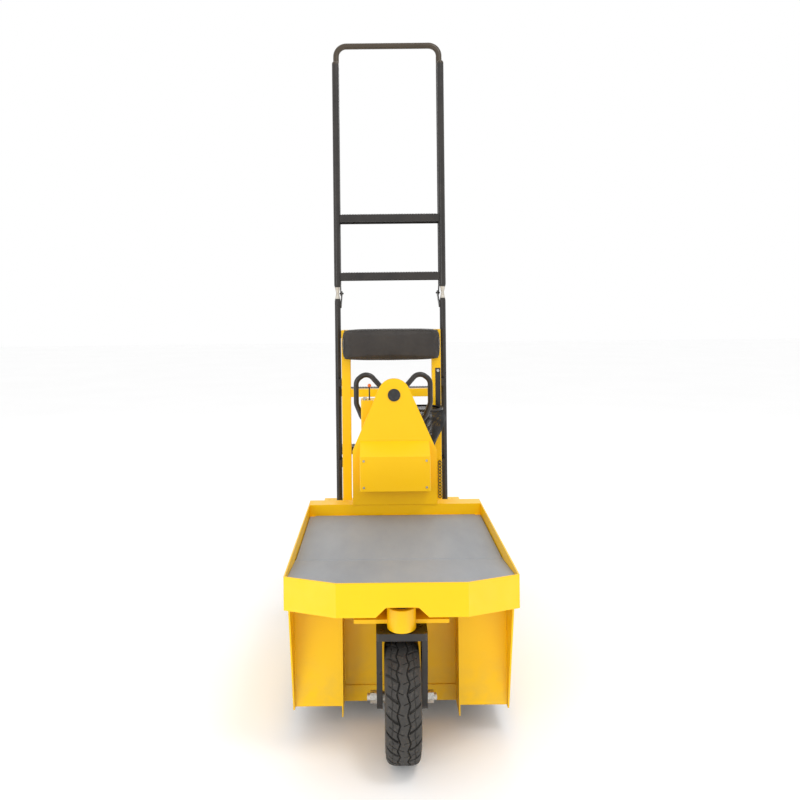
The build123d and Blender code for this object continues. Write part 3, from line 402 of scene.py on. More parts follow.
def thread():
    """Waxed black-brown thread, twisted along its length."""
    shader = Shader("waxed_thread", roughness=0.6)
    twist = shader.stripes(900.0, "DIAGONAL")
    shader.colour(shader.mix(twist, (0.03, 0.024, 0.02), (0.075, 0.06, 0.05)))
    shader.relief(twist, 0.5, 0.0003)
    return shader.material


def moulded_plastic(name, dark, light, roughness):
    """Injection-moulded plastic: spark-eroded grain, slight mottling and rubbed edges."""
    shader = Shader(name, roughness=roughness)
    tone = shader.span(shader.noise(45.0, 4.0), 0.3, 0.7)
    rubbed = shader.maths("MULTIPLY", shader.edge_mask(0.0008), 0.25)
    paler = tuple(min(1.0, channel * 1.6 + 0.03) for channel in light)
    shader.colour(shader.mix(rubbed, shader.mix(tone, dark, light), paler))
    shader.roughness(shader.span(shader.noise(80.0, 3.0), 0.3, 0.7, roughness - 0.08,
                                 roughness + 0.1))
    shader.relief(shader.noise(900.0, 3.0, 0.6), 0.25, 0.0004, rounded=0.0006)
    return shader.material


def lever_plastic():
    """Orange knob on a black stem, parted at the height where the knob begins."""
    shader = Shader("lever_knob_and_stem", roughness=0.35)
    knob_height = 16 * MM
    knob = shader.span(shader.axis("Z"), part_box("direction_lever")[1][2] - knob_height - 0.0004,
                       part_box("direction_lever")[1][2] - knob_height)
    tone = shader.span(shader.noise(120.0, 4.0), 0.3, 0.7)
    orange = shader.mix(tone, (0.78, 0.13, 0.01), (0.9, 0.2, 0.02))
    shader.colour(shader.mix(knob, (0.03, 0.03, 0.03), orange))
    shader.roughness(shader.span(tone, 0.0, 1.0, 0.28, 0.42))
    shader.relief(shader.noise(700.0, 2.0), 0.15, 0.0003)
    return shader.material


def cast_housing():
    """Painted grey casting: sand-cast skin, patches of oil haze."""
    shader = Shader("grey_casting", roughness=0.6)
    skin = shader.noise(180.0, 6.0, 0.7)
    oil = shader.span(shader.noise(7.0, 5.0), 0.45, 0.7)
    base = shader.mix(shader.span(skin, 0.3, 0.7), (0.07, 0.07, 0.075), (0.13, 0.13, 0.135))
    shader.colour(shader.mix(shader.maths("MULTIPLY", oil, 0.7), base, (0.035, 0.03, 0.025)))
    shader.roughness(shader.span(oil, 0.0, 1.0, 0.68, 0.4))
    shader.relief(skin, 0.5, 0.0016, rounded=0.003)
    return shader.material


def wire_paint():
    """Black dipped coat on thin wire, its tone, gloss and surface varying in runs."""
    shader = Shader("dipped_wire", roughness=0.42)
    runs = shader.span(shader.noise(150.0, 4.0), 0.35, 0.7)
    shader.colour(shader.mix(runs, (0.012, 0.012, 0.012), (0.03, 0.029, 0.028)))
    shader.roughness(shader.span(runs, 0.0, 1.0, 0.3, 0.55))
    shader.relief(runs, 0.3, 0.0004)
    return shader.material


MATERIALS = {
    "yellow_paint": yellow_paint(),
    "black_paint": black_paint()[0].material,
    "grey_mat": grey_mat(),
    "black_mat": black_mat(),
    "tyre_rubber": tyre_rubber(),
    "rim_paint": rim_paint(),
    "zinc": zinc(),
    "vinyl": vinyl(),
    "black_plastic": moulded_plastic("black_plastic", (0.012,) * 3, (0.028,) * 3, 0.5),
    "orange_plastic": lever_plastic(),
    "red_plastic": moulded_plastic("red_button", (0.4, 0.01, 0.008), (0.6, 0.02, 0.012), 0.35),
    "mesh": wire_paint(),
    "battery_case": moulded_plastic("battery_case", (0.03, 0.03, 0.034), (0.06, 0.06, 0.066), 0.5),
    "cast_housing": cast_housing(),
    "rubber": moulded_plastic("bumper_rubber", (0.014,) * 3, (0.03,) * 3, 0.72),
}
LADDER_NODES = ("ladder_rails", "ladder_tubes", "hand_hoop")


def dress_frame():
    """Gives every CAD node the material of its slot."""
    ladder = ladder_paint()
    for entry in record["subparts"]:
        node = entry["node"]
        material = ladder if node in LADDER_NODES else MATERIALS[entry["material_slot"]]
        mesh = frame["nodes"][node].data
        mesh.materials.clear()
        mesh.materials.append(material)


def finish_piece(piece, body, slot_name, material=None):
    """Material and body of a piece made here; the slot name picks its material."""
    piece.data.materials.append(material or MATERIALS[slot_name])
    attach(piece, body)


# ------------------------------------------------------------------ wheels
RIM_FLANGE = (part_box("front_rim")[1][2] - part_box("front_rim")[0][2]) / 2
BEAD_HALF = 44.5 * MM


def zigzag(turns):
    """Triangle wave between -1 and 1."""
    return 4.0 * np.abs(turns - np.floor(turns + 0.5)) - 1.0


def slot_mask(distance, half_width, edge=0.8 * MM):
    """1 inside a groove and 0 outside, with a short slope at its lip."""
    return np.clip((half_width + edge - np.abs(distance)) / edge, 0.0, 1.0)


def tread_cut(turn, across, pitches, mirrored):
    """How deep the tread is cut, from 0 to 1, over the turn (in pitches) and across it.

    Two zigzag grooves leave a solid rib in the middle, a second pair splits the shoulders,
    lateral grooves cut both into blocks, and narrow sipes nick the rib and the blocks.
    """
    side = np.sign(across)
    reach = np.abs(across)
    wave = zigzag(turn + 0.25 * side * mirrored)
    cut = slot_mask(reach - (17 + 4.5 * wave) * MM, 1.8 * MM)
    outer = slot_mask(reach - (37 + 2.0 * wave) * MM, 0.8 * MM) * 0.35
    phase = turn + 0.25 * side + 5.0 * reach * mirrored + 90.0 * reach * reach
    gap = np.abs(phase - np.round(phase))
    pitch_length = 2 * math.pi * 0.2 / pitches
    lateral = slot_mask(gap * pitch_length, 3.6 * MM) * (reach > 18 * MM)
    half = phase + 0.5
    nick = np.abs(half - np.round(half)) * pitch_length
    sipe = slot_mask(nick, 0.5 * MM) * 0.5 * (reach < 48 * MM)
    return np.maximum.reduce([cut, outer, lateral, sipe])


def make_tyre(node, body, around, mirrored=1.0):
    """A tyre as a surface over the turn and the section.

    The section is a rounded box |x / w|^4 + |(r - m) / h|^4 = 1, drawn in to the beads, with two
    raised rings on each wall; the tread function lowers its crown.
    """
    low, high = (np.array(corner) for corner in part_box(node))
    middle = (low + high) / 2
    half_width = (high[0] - low[0]) / 2
    outside = (high[2] - low[2]) / 2
    inside = RIM_FLANGE - 10 * MM
    mean = (outside + inside) / 2
    height = (outside - inside) / 2
    crown_half = 0.955 * half_width
    crown = np.linspace(-crown_half, crown_half, 62)
    crown_radius = mean + height * (1 - np.abs(crown / half_width) ** 4) ** 0.25
    wall_radius = np.linspace(crown_radius[0], inside + 0.3 * MM, 18)[1:]
    bulge = (1 - np.abs((wall_radius - mean) / height) ** 4) ** 0.25
    drawn_in = np.clip((wall_radius - RIM_FLANGE - 2 * MM) / (26 * MM), 0.0, 1.0) ** 0.6
    wall = bulge * (BEAD_HALF + (half_width - BEAD_HALF) * drawn_in)
    for ring_radius in (RIM_FLANGE + 14 * MM, outside - 38 * MM):
        wall += 0.9 * MM * np.exp(-((wall_radius - ring_radius) / (2.5 * MM)) ** 2)
    across = np.concatenate([crown, wall, -wall[::-1]])
    radius = np.concatenate([crown_radius, wall_radius, wall_radius[::-1]])
    pitches = 21
    turn = np.linspace(0, 1, around, endpoint=False)
    turns, xs = np.meshgrid(turn * pitches, across, indexing="ij")
    rs = np.broadcast_to(radius, turns.shape)
    on_crown = np.clip((rs - (outside - 20 * MM)) / (5 * MM), 0.0, 1.0)
    rs = rs - 7.5 * MM * tread_cut(turns, xs, pitches, mirrored) * on_crown
    angle = turns / pitches * 2 * math.pi
    points = np.stack([middle[0] + xs, middle[1] + rs * np.cos(angle),
                       middle[2] + rs * np.sin(angle)], axis=-1)
    faces = grid_faces(around, len(across), wrap_rows=True)[:, ::-1]
    tyre = mesh_object(f"{node}_tread", points.reshape(-1, 3), faces, smooth=False)
    finish_piece(tyre, body, "tyre_rubber")
    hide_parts(node)


def turned_points(profile, turns):
    """Points of a profile (radius, height) turned about an axis, as (turn, profile, 3)."""
    angle = np.linspace(0, 2 * math.pi, turns, endpoint=False)
    radius, height = np.asarray(profile, dtype=float).T
    return np.stack([np.cos(angle)[:, None] * radius, np.sin(angle)[:, None] * radius,
                     np.broadcast_to(height, (turns, len(height)))], axis=-1)


def turned(name, spots, profile, turns=24, axis="Z", flip=False):
    """One closed turned shape, repeated at several spots, its axis along X, Y or Z.

    The profile runs from the axis at the foot to the axis at the tip, so the poles are closed.
    """
    shape = turned_points(profile, turns)
    rows, columns = shape.shape[:2]
    if flip:
        shape = shape * np.array((1.0, -1.0, -1.0))
    order = {"Z": (0, 1, 2), "X": (2, 0, 1), "Y": (1, 2, 0)}[axis]
    shape = shape[..., list(order)].reshape(-1, 3)
    spots = np.asarray(spots, dtype=float).reshape(-1, 3)
    points = (spots[:, None] + shape[None]).reshape(-1, 3)
    quads = row_first_faces(rows, columns)
    offsets = np.arange(len(spots))[:, None, None] * rows * columns
    piece = mesh_object(name, points, (quads[None] + offsets).reshape(-1, 4))
    close_poles(piece)
    return piece


def close_poles(piece):
    """Merges the points that fall together on an axis and turns the faces outward."""
    shape = bmesh.new()
    shape.from_mesh(piece.data)
    bmesh.ops.remove_doubles(shape, verts=shape.verts, dist=1e-6)
    bmesh.ops.dissolve_degenerate(shape, edges=shape.edges, dist=1e-7)
    bmesh.ops.recalc_face_normals(shape, faces=shape.faces)
    shape.to_mesh(piece.data)
    shape.free()
    piece.data.shade_smooth()


def hex_profile(across, height):
    """Half section of a bolt head with a chamfered rim and a flat top."""
    return [(0, -1 * MM), (across, -1 * MM), (across, height - 1.2 * MM),
            (across - 1.4 * MM, height), (0, height)]


def make_wheel_details(name, body, face_sign):
    """Five hexagonal bolts on the disc between its holes, and a valve stem near the flange."""
    node = f"{name}_rim"
    middle = centre_of(f"{name}_tyre")
    angles = np.arange(5) * 2 * math.pi / 5 + math.pi / 5
    circle = np.stack([np.zeros(5), np.cos(angles), np.sin(angles)], axis=-1)
    spots = middle + 60 * MM * circle + np.array((face_sign * 4 * MM, 0, 0))
    bolts = turned(f"{node}_bolts", spots, hex_profile(9.5 * MM, 7 * MM), turns=6, axis="X",
                   flip=face_sign < 0)
    bolts.data.shade_flat()
    finish_piece(bolts, body, "zinc")
    stem_profile = [(0, 0), (4.5 * MM, 0), (4 * MM, 5 * MM), (3.2 * MM, 6 * MM),
                    (3.2 * MM, 9 * MM), (3.8 * MM, 10 * MM), (3.8 * MM, 15 * MM),
                    (2.5 * MM, 17 * MM), (0, 17 * MM)]
    stem_spot = middle + np.array((face_sign * 4 * MM, 0, 82 * MM))
    stem = turned(f"{node}_valve_stem", [stem_spot], stem_profile, turns=14, axis="X",
                  flip=face_sign < 0)
    finish_piece(stem, body, "black_plastic")


WHEELS = (("front", "front_wheel", 1080, 1, 1.0), ("rear_left", "rear_left_wheel", 720, -1, 1.0),
          ("rear_right", "rear_right_wheel", 720, 1, -1.0))
for name, body, around, face_sign, mirrored in WHEELS:
    make_tyre(f"{name}_tyre", body, around, mirrored)
    make_wheel_details(name, body, face_sign)


# ------------------------------------------------------------------ backrest cushion
def rounded_slab(low, high, corner, steps=14):
    """Points of a closed box whose outline across X and Z is |x / a|^n + |z / b|^n = 1 with large n."""
    middle = (low + high) / 2
    half = (high - low) / 2
    angle = np.linspace(0, 2 * math.pi, 8 * steps, endpoint=False)
    power = 2.0 / corner
    outline = np.stack([half[0] * np.sign(np.cos(angle)) * np.abs(np.cos(angle)) ** power,
                        half[2] * np.sign(np.sin(angle)) * np.abs(np.sin(angle)) ** power],
                       axis=-1)
    shrink = np.concatenate([np.linspace(0, 1, 12)[:-1], np.ones(8), np.linspace(1, 0, 12)[1:]])
    depth = np.concatenate([np.full(11, -1.0), np.linspace(-1, 1, 8), np.full(11, 1.0)])
    ring = outline[:, None] * shrink[None, :, None]
    points = np.stack([middle[0] + ring[..., 0],
                       np.broadcast_to(middle[1] + half[1] * depth, ring.shape[:2]),
                       middle[2] + ring[..., 1]], axis=-1)
    return points


def remesh(piece, size):
    """Voxel remesh, applied."""
    bpy.context.view_layer.objects.active = piece
    modifier = piece.modifiers.new("even", "REMESH")
    modifier.mode = "VOXEL"
    modifier.voxel_size = size
    apply_modifiers(piece)


def apply_modifiers(piece):
    """Writes the modified mesh into the piece and drops the modifiers."""
    graph = bpy.context.evaluated_depsgraph_get()
    mesh = bpy.data.meshes.new_from_object(piece.evaluated_get(graph))
    piece.modifiers.clear()
    piece.data = mesh


def vertex_array(mesh):
    """Vertex places as an array."""
    flat = np.empty(len(mesh.vertices) * 3)
    mesh.vertices.foreach_get("co", flat)
    return flat.reshape(-1, 3)


def store_vertices(mesh, points):
    """Writes vertex places back."""
    mesh.vertices.foreach_set("co", np.asarray(points).reshape(-1))
    mesh.update()


def inflate(piece, pinned, pressure, frames, cap):
    """Cloth pressure swells the closed mesh; no point moves further than the cap."""
    start = vertex_array(piece.data)
    group = piece.vertex_groups.new(name="held")
    group.add(np.nonzero(pinned)[0].tolist(), 1.0, "REPLACE")
    cloth = piece.modifiers.new("swell", "CLOTH")
    cloth.settings.use_pressure = True
    cloth.settings.uniform_pressure_force = pressure
    cloth.settings.effector_weights.gravity = 0.0
    cloth.settings.quality = 5
    cloth.settings.tension_stiffness = 30
    cloth.settings.compression_stiffness = 30
    cloth.settings.shear_stiffness = 15
    cloth.settings.bending_stiffness = 0.8
    cloth.settings.vertex_group_mass = "held"
    cloth.point_cache.frame_start = 1
    cloth.point_cache.frame_end = frames
    scene = bpy.context.scene
    for frame_number in range(1, frames + 1):
        scene.frame_set(frame_number)
    apply_modifiers(piece)
    scene.frame_set(1)
    moved = vertex_array(piece.data) - start
    travel = np.linalg.norm(moved, axis=1, keepdims=True)
    store_vertices(piece.data, start + moved * np.minimum(1.0, cap / np.maximum(travel, 1e-9)))


def perimeter(middle, half, y, corner, count):
    """Closed path |x / a|^n + |z / b|^n = 1 at one depth."""
    angle = np.linspace(0, 2 * math.pi, 4000, endpoint=False)
    power = 2.0 / corner
    x = half[0] * np.sign(np.cos(angle)) * np.abs(np.cos(angle)) ** power
    z = half[2] * np.sign(np.sin(angle)) * np.abs(np.sin(angle)) ** power
    length = np.concatenate([[0], np.cumsum(np.hypot(np.diff(x), np.diff(z)))])
    along = np.linspace(0, length[-1], count, endpoint=False)
    return np.stack([middle[0] + np.interp(along, length, x), np.full(count, y),
                     middle[2] + np.interp(along, length, z)], axis=-1)


def nearest_on(points, surface):
    """For each path point, the nearest of the surface's vertices."""
    distance = np.linalg.norm(points[:, None] - surface[None], axis=2)
    return surface[distance.argmin(axis=1)]


def ring_smooth(path, rounds):
    """Averages a closed path with its neighbours."""
    for _ in range(rounds):
        path = (np.roll(path, 1, axis=0) + path * 2 + np.roll(path, -1, axis=0)) / 4
    return path


def closed_tube(name, path, radius, sides=8):
    """A tube along a closed path, its ring across the path; radius may vary along it."""
    count = len(path)
    tangent = np.roll(path, -1, axis=0) - np.roll(path, 1, axis=0)
    tangent /= np.linalg.norm(tangent, axis=1, keepdims=True)
    centre = path.mean(axis=0)
    flat = np.linalg.svd(path - centre)[2][2]
    side = np.cross(tangent, flat)
    side /= np.linalg.norm(side, axis=1, keepdims=True)
    lift = np.cross(side, tangent)
    turn = np.linspace(0, 2 * math.pi, sides, endpoint=False)
    ring = side[:, None] * np.cos(turn)[None, :, None] + lift[:, None] * np.sin(turn)[None, :, None]
    radii = np.broadcast_to(radius, (count,))[:, None, None]
    points = path[:, None] + radii * ring
    piece = mesh_object(name, points.reshape(-1, 3), grid_faces(count, sides, wrap_rows=True))
    close_poles(piece)
    return piece


def make_backrest_pad():
    """Upholstered pad: swollen by cloth pressure, welted at its front edge, stitched behind it."""
    low, high = (np.array(corner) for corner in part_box("backrest_pad"))
    inset = np.array((5.0, 7.0, 5.0)) * MM
    pad_low = low + inset
    pad_high = high - np.array((5.0, 0.0, 5.0)) * MM
    points = rounded_slab(pad_low, pad_high, corner=9.0)
    pad = mesh_object("backrest_cushion", points.reshape(-1, 3),
                      row_first_faces(*points.shape[:2]))
    close_poles(pad)
    remesh(pad, (5) * MM)
    middle = (pad_low + pad_high) / 2
    half = (pad_high - pad_low) / 2
    places = vertex_array(pad.data)
    inflate(pad, places[:, 1] > pad_high[1] - 3 * MM, pressure=4.0, frames=20, cap=7 * MM)
    places = vertex_array(pad.data)
    spread_x = np.clip(1 - ((places[:, 0] - middle[0]) / half[0]) ** 4, 0, 1)
    spread_z = np.clip(1 - ((places[:, 2] - middle[2]) / half[2]) ** 2, 0, 1)
    in_front = np.clip((middle[1] - places[:, 1]) / half[1], 0, 1)
    places[:, 1] -= 5.5 * MM * in_front * spread_x * np.sqrt(spread_z)
    folds = 0.7 * MM * np.sin(places[:, 0] * 95) * np.sin(places[:, 2] * 40 + places[:, 0] * 30)
    places[:, 1] += folds * in_front * (1 - spread_z)
    edge_y = pad_low[1] + 6 * MM
    seam_distance = np.abs(places[:, 1] - edge_y)
    rim = np.maximum(np.abs(places[:, 0] - middle[0]) / half[0],
                     np.abs(places[:, 2] - middle[2]) / half[2])
    groove = np.exp(-(seam_distance / (3 * MM)) ** 2) * np.clip((rim - 0.9) * 10, 0, 1)
    inward = (middle - places) * np.array((1.0, 0.0, 1.0))
    inward /= np.maximum(np.linalg.norm(inward, axis=1, keepdims=True), 1e-6)
    places += inward * (groove * 2.0 * MM)[:, None]
    store_vertices(pad.data, places)
    smooth = pad.modifiers.new("fine", "SUBSURF")
    smooth.levels = smooth.render_levels = 1
    apply_modifiers(pad)
    pad.data.shade_smooth()
    finish_piece(pad, "chassis", "vinyl")
    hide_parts("backrest_pad")
    surface = vertex_array(pad.data)
    outline = perimeter(middle, half, edge_y, 9.0, 420)
    near = surface[np.abs(surface[:, 1] - edge_y) < 3 * MM]
    welt_path = ring_smooth(nearest_on(outline, near), 12)
    welt = closed_tube("backrest_welt", welt_path, 2.6 * MM)
    finish_piece(welt, "chassis", "vinyl")
    back_edge = perimeter(middle, half, pad_high[1] - 12 * MM, 9.0, 360)
    near = surface[np.abs(surface[:, 1] - back_edge[0, 1]) < 3 * MM]
    stitch_path = ring_smooth(nearest_on(back_edge, near), 10)
    pairs = np.stack([stitch_path[0::3], stitch_path[2::3]], axis=1)
    outward = (stitch_path[1::3] - middle) * np.array((1.0, 0.0, 1.0))
    outward /= np.linalg.norm(outward, axis=1, keepdims=True)
    arcs = np.stack([pairs[:, 0], (pairs[:, 0] + pairs[:, 1]) / 2 + 0.6 * MM * outward,
                     pairs[:, 1]], axis=1)
    stitches = tube_object("backrest_stitches", arcs, 0.5 * MM, sides=5)
    finish_piece(stitches, "chassis", "vinyl", thread())


make_backrest_pad()


# ------------------------------------------------------------------ basket
def make_wire_basket():
    """Woven wire pot: two families of helices on the pot's surface, hoops and a mesh floor.

    The pot's radius is the cubic through foot, shoulder, belly and rim; a helix turns evenly as
    it climbs, the left-hand family just inside the right-hand one.
    """
    low, high = (np.array(corner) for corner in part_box("mesh_basket"))
    centre = (low + high) / 2
    height = high[2] - low[2] - 3 * MM
    belly = (high[0] - low[0]) / 2 - 1.2 * MM
    share = belly / 113
    curve = np.polyfit(np.array((0, 0.4, 0.64, 1.0)) * height,
                       np.array((54, 91, 112.5, 90)) * share, 3)
    climb = np.linspace(0, height, 26)
    radius = np.polyval(curve, climb)
    count = 92
    lean = 1.9
    wires = []
    for hand, offset in ((1, 0.4 * MM), (-1, -1.2 * MM)):
        angle = (np.arange(count)[:, None] * 2 * math.pi / count
                 + hand * lean * climb[None] / height)
        reach = radius[None] + offset
        wires.append(np.stack([centre[0] + reach * np.cos(angle),
                               centre[1] + reach * np.sin(angle),
                               np.broadcast_to(low[2] + climb, angle.shape)], axis=-1))
    mesh = tube_object("basket_wire", np.concatenate(wires), 1.45 * MM, sides=4)
    finish_piece(mesh, "chassis", "mesh")
    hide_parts("mesh_basket")
    chord = np.arange(-6, 7) * 8 * MM
    foot = np.polyval(curve, 0.0)
    reach = np.sqrt(foot ** 2 - chord ** 2)
    ends = np.stack([-reach, reach], axis=1)
    level = np.full_like(ends, low[2] + 1 * MM)
    spans = np.stack([centre[0] + ends, centre[1] + np.stack([chord, chord], axis=1), level], -1)
    cross = np.stack([centre[0] + np.stack([chord, chord], axis=1), centre[1] + ends,
                      level + 1.4 * MM], -1)
    floor = tube_object("basket_floor", np.concatenate([spans, cross]), 0.85 * MM, sides=4)
    finish_piece(floor, "chassis", "mesh")
    turn = np.linspace(0, 2 * math.pi, 96, endpoint=False)
    for share_up, thickness in ((0.0, 1.8), (0.42, 1.6), (0.98, 2.6)):
        z = low[2] + height * share_up + 1.5 * MM
        ring = np.polyval(curve, height * share_up)
        path = np.stack([centre[0] + ring * np.cos(turn), centre[1] + ring * np.sin(turn),
                         np.full(96, z)], axis=-1)
        hoop = closed_tube(f"basket_hoop_{round(share_up * 100)}", path, thickness * MM)
        finish_piece(hoop, "chassis", "mesh")


make_wire_basket()


# ------------------------------------------------------------------ controls
def make_lever():
    """Lever turned in one profile: collar, waisted stem and ball knob."""
    low, high = (np.array(corner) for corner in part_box("direction_lever"))
    middle = (low + high) / 2
    length = high[2] - low[2]
    knob = (high[0] - low[0]) / 2
    arc = np.linspace(-0.42 * math.pi, math.pi / 2, 16)
    stem = 3.4 * MM
    profile = [(0, 0), (4.5 * MM, 0), (4.5 * MM, 14 * MM), (stem, 17 * MM),
               (stem, length - 2 * knob - 2 * MM), (stem + 1.2 * MM, length - 2 * knob)]
    profile += [(knob * math.cos(a) if a < 1.57 else 0.0, length - knob + knob * math.sin(a))
                for a in arc]
    lever = turned("direction_lever_turned", [(middle[0], middle[1], low[2])], profile, turns=32)
    finish_piece(lever, "lever", "orange_plastic")
    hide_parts("direction_lever")


make_lever()


# ------------------------------------------------------------------ ladder grips and welds
def frustums(name, spots, base, height, share=0.45):
    """Small square frustums standing on spots: each has a foot ring, a top ring and two caps."""
    corners = np.array([(-1, -1), (1, -1), (1, 1), (-1, 1)], dtype=float)
    foot = np.concatenate([corners * base / 2, np.full((4, 1), -0.3 * MM)], axis=1)
    top = np.concatenate([corners * base / 2 * share, np.full((4, 1), height)], axis=1)
    shape = np.concatenate([foot, top])
    quads = np.array([(0, 1, 5, 4), (1, 2, 6, 5), (2, 3, 7, 6), (3, 0, 4, 7), (4, 5, 6, 7),
                      (3, 2, 1, 0)])
    spots = np.asarray(spots, dtype=float).reshape(-1, 3)
    points = (spots[:, None] + shape[None]).reshape(-1, 3)
    faces = (quads[None] + np.arange(len(spots))[:, None, None] * 8).reshape(-1, 4)
    return mesh_object(name, points, faces, smooth=False)


def make_tread_grips():
    """Three rows of raised teeth along the top of every step."""
    for node, body in (("lower_treads", "chassis"), ("fold_treads", "upper_ladder")):
        low, high = (np.array(corner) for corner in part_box(node))
        tread_height = 42 * MM
        steps = 3 if node == "lower_treads" else 2
        tops = np.linspace(low[2] + tread_height, high[2], steps)
        x = np.arange(low[0] + 32 * MM, high[0] - 30 * MM, 9 * MM)
        y = np.array((low[1] + 6 * MM, (low[1] + high[1]) / 2, high[1] - 8 * MM))
        spots = np.stack(np.meshgrid(x, y, tops, indexing="ij"), axis=-1).reshape(-1, 3)
        grips = frustums(f"{node}_teeth", spots, 6.5 * MM, 3.2 * MM)
        finish_piece(grips, body, "black_paint")


make_tread_grips()


def weld_ring(name, body, slot_name, centre, half_x, half_y, corner=2.0, size=2.6 * MM):
    """A weld bead round a tube's foot: a closed path |x / a|^n + |y / b|^n = 1 whose radius
    rises and falls with each pass of the torch."""
    angle = np.linspace(0, 2 * math.pi, 2400, endpoint=False)
    power = 2.0 / corner
    x = half_x * np.sign(np.cos(angle)) * np.abs(np.cos(angle)) ** power
    y = half_y * np.sign(np.sin(angle)) * np.abs(np.sin(angle)) ** power
    length = np.concatenate([[0], np.cumsum(np.hypot(np.diff(x), np.diff(y)))])
    count = 4 * round(length[-1] / (4.2 * MM))
    along = np.linspace(0, length[-1], count, endpoint=False)
    path = np.stack([centre[0] + np.interp(along, length, x),
                     centre[1] + np.interp(along, length, y), np.full(count, centre[2])], -1)
    ripple = size * (1 + 0.16 * np.cos(np.arange(count) * math.pi / 2))
    bead = closed_tube(name, path, ripple, sides=8)
    finish_piece(bead, body, slot_name)


def make_welds():
    """Beads where the posts and ladder rails stand on the rear deck."""
    deck_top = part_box("rear_deck")[1][2]
    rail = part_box("ladder_rails")
    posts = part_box("backrest_posts")
    rail_radius = 17 * MM
    post_half = (posts[1][1] - posts[0][1]) / 2
    post_y = (posts[1][1] + posts[0][1]) / 2
    rail_x = rail[1][0] - rail_radius
    rail_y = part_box("lower_treads")[0][1] + 10 * MM
    for side, word in zip(SIDES, ("left", "right")):
        weld_ring(f"rail_weld_{word}", "chassis", "black_paint", (side * rail_x, rail_y, deck_top),
                  rail_radius, rail_radius)
        weld_ring(f"post_weld_{word}", "chassis", "yellow_paint",
                  (side * (posts[1][0] - post_half), post_y, deck_top), post_half, post_half, 14.0)


make_welds()


# ------------------------------------------------------------------ floor mat, batteries, vents
def make_platform_ribs():
    """Half-round ribs along the floor mat: a height (1 - |u|^2.5) over each rib's width u."""
    low, high = (np.array(corner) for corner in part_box("platform_mat"))
    pitch = 14 * MM
    x = np.arange(low[0] + 12 * MM, high[0] - 10 * MM, pitch)
    u = np.linspace(-1, 1, 7)
    lift = 2.2 * MM * (1 - np.abs(u) ** 2.5)
    y = np.array((low[1] + 12 * MM, high[1] - 12 * MM))
    xs = x[:, None, None] + 4.5 * MM * u[None, None, :]
    ys = np.broadcast_to(y[None, :, None], (len(x), 2, 7))
    zs = high[2] - 0.2 * MM + np.broadcast_to(lift, (len(x), 2, 7))
    points = np.stack([np.broadcast_to(xs, ys.shape), ys, zs], axis=-1).reshape(-1, 3)
    faces = []
    for index in range(len(x)):
        start = index * 14
        faces += [(start + k, start + k + 1, start + k + 8, start + k + 7) for k in range(6)]
        faces.append((start, start + 7, start + 13, start + 6))
        faces.append(tuple(range(start + 6, start - 1, -1)))
        faces.append(tuple(range(start + 7, start + 14)))
    mesh = bpy.data.meshes.new("floor_mat_ribs")
    mesh.from_pydata(points.tolist(), [], faces)
    mesh.update()
    ribs = bpy.data.objects.new("floor_mat_ribs", mesh)
    bpy.context.collection.objects.link(ribs)
    finish_piece(ribs, "chassis", "black_mat")


make_platform_ribs()


def make_battery_tops():
    """Vent caps in two rows on the battery cases."""
    low, high = (np.array(corner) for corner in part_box("batteries"))
    cap = [(0, -1 * MM), (13 * MM, -1 * MM), (13 * MM, 4 * MM), (11 * MM, 6 * MM),
           (5 * MM, 6 * MM), (4.5 * MM, 4.5 * MM), (0, 4.5 * MM)]
    x = np.linspace(low[0] + 50 * MM, high[0] - 50 * MM, 12)
    y = np.linspace(low[1] + 60 * MM, high[1] - 60 * MM, 2)
    spots = np.stack(np.meshgrid(x, y, (high[2],), indexing="ij"), axis=-1)
    caps = turned("battery_vent_caps", spots, cap, turns=20)
    finish_piece(caps, "chassis", "black_plastic")


make_battery_tops()


def make_cover_louvres():
    """Pressed louvres in two columns on the rear of the drive cover.

    Each is a lip that falls to nothing at its ends, depth(u, v) = d (1 - |u|^6) sin(pi v / 2).
    """
    rear_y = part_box("drive_cover")[1][1]
    bumper_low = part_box("rear_bumper")[0][2]
    half_length = 55 * MM
    drop = 11 * MM
    depth = 7 * MM
    column_x = 120 * MM
    pitch = 18 * MM
    sheet = 1.6 * MM
    u = np.linspace(-1, 1, 21)
    v = np.linspace(0, 1, 7)
    us, vs = np.meshgrid(u, v, indexing="ij")
    lip = depth * (1 - np.abs(us) ** 6) * np.sin(vs * math.pi / 2)
    places = [(x, bumper_low - 30 * MM - row * pitch)
              for x in (-column_x, column_x) for row in range(7)]
    points = []
    faces = []
    count = us.size
    quads = row_first_faces(len(u), len(v), wrap_rows=False)
    for index, (x, z) in enumerate(places):
        outer = np.stack([x + us * half_length, rear_y + lip, z - vs * drop], axis=-1)
        inner = outer - np.array((0, sheet, 0))
        points += [outer.reshape(-1, 3), inner.reshape(-1, 3)]
        start = index * 2 * count
        faces += [quads + start, quads[:, ::-1] + start + count]
        rim = np.concatenate([np.arange(len(u)) * len(v),
                              (len(u) - 1) * len(v) + np.arange(1, len(v)),
                              (np.arange(len(u) - 1)[::-1]) * len(v) + len(v) - 1,
                              np.arange(len(v) - 1)[::-1][:-1]])
        after = np.roll(rim, -1)
        faces.append(np.stack([rim, after, after + count, rim + count], axis=-1) + start)
    louvres = mesh_object("drive_cover_louvres", np.concatenate(points), np.concatenate(faces))
    close_poles(louvres)
    finish_piece(louvres, "chassis", "yellow_paint")


make_cover_louvres()


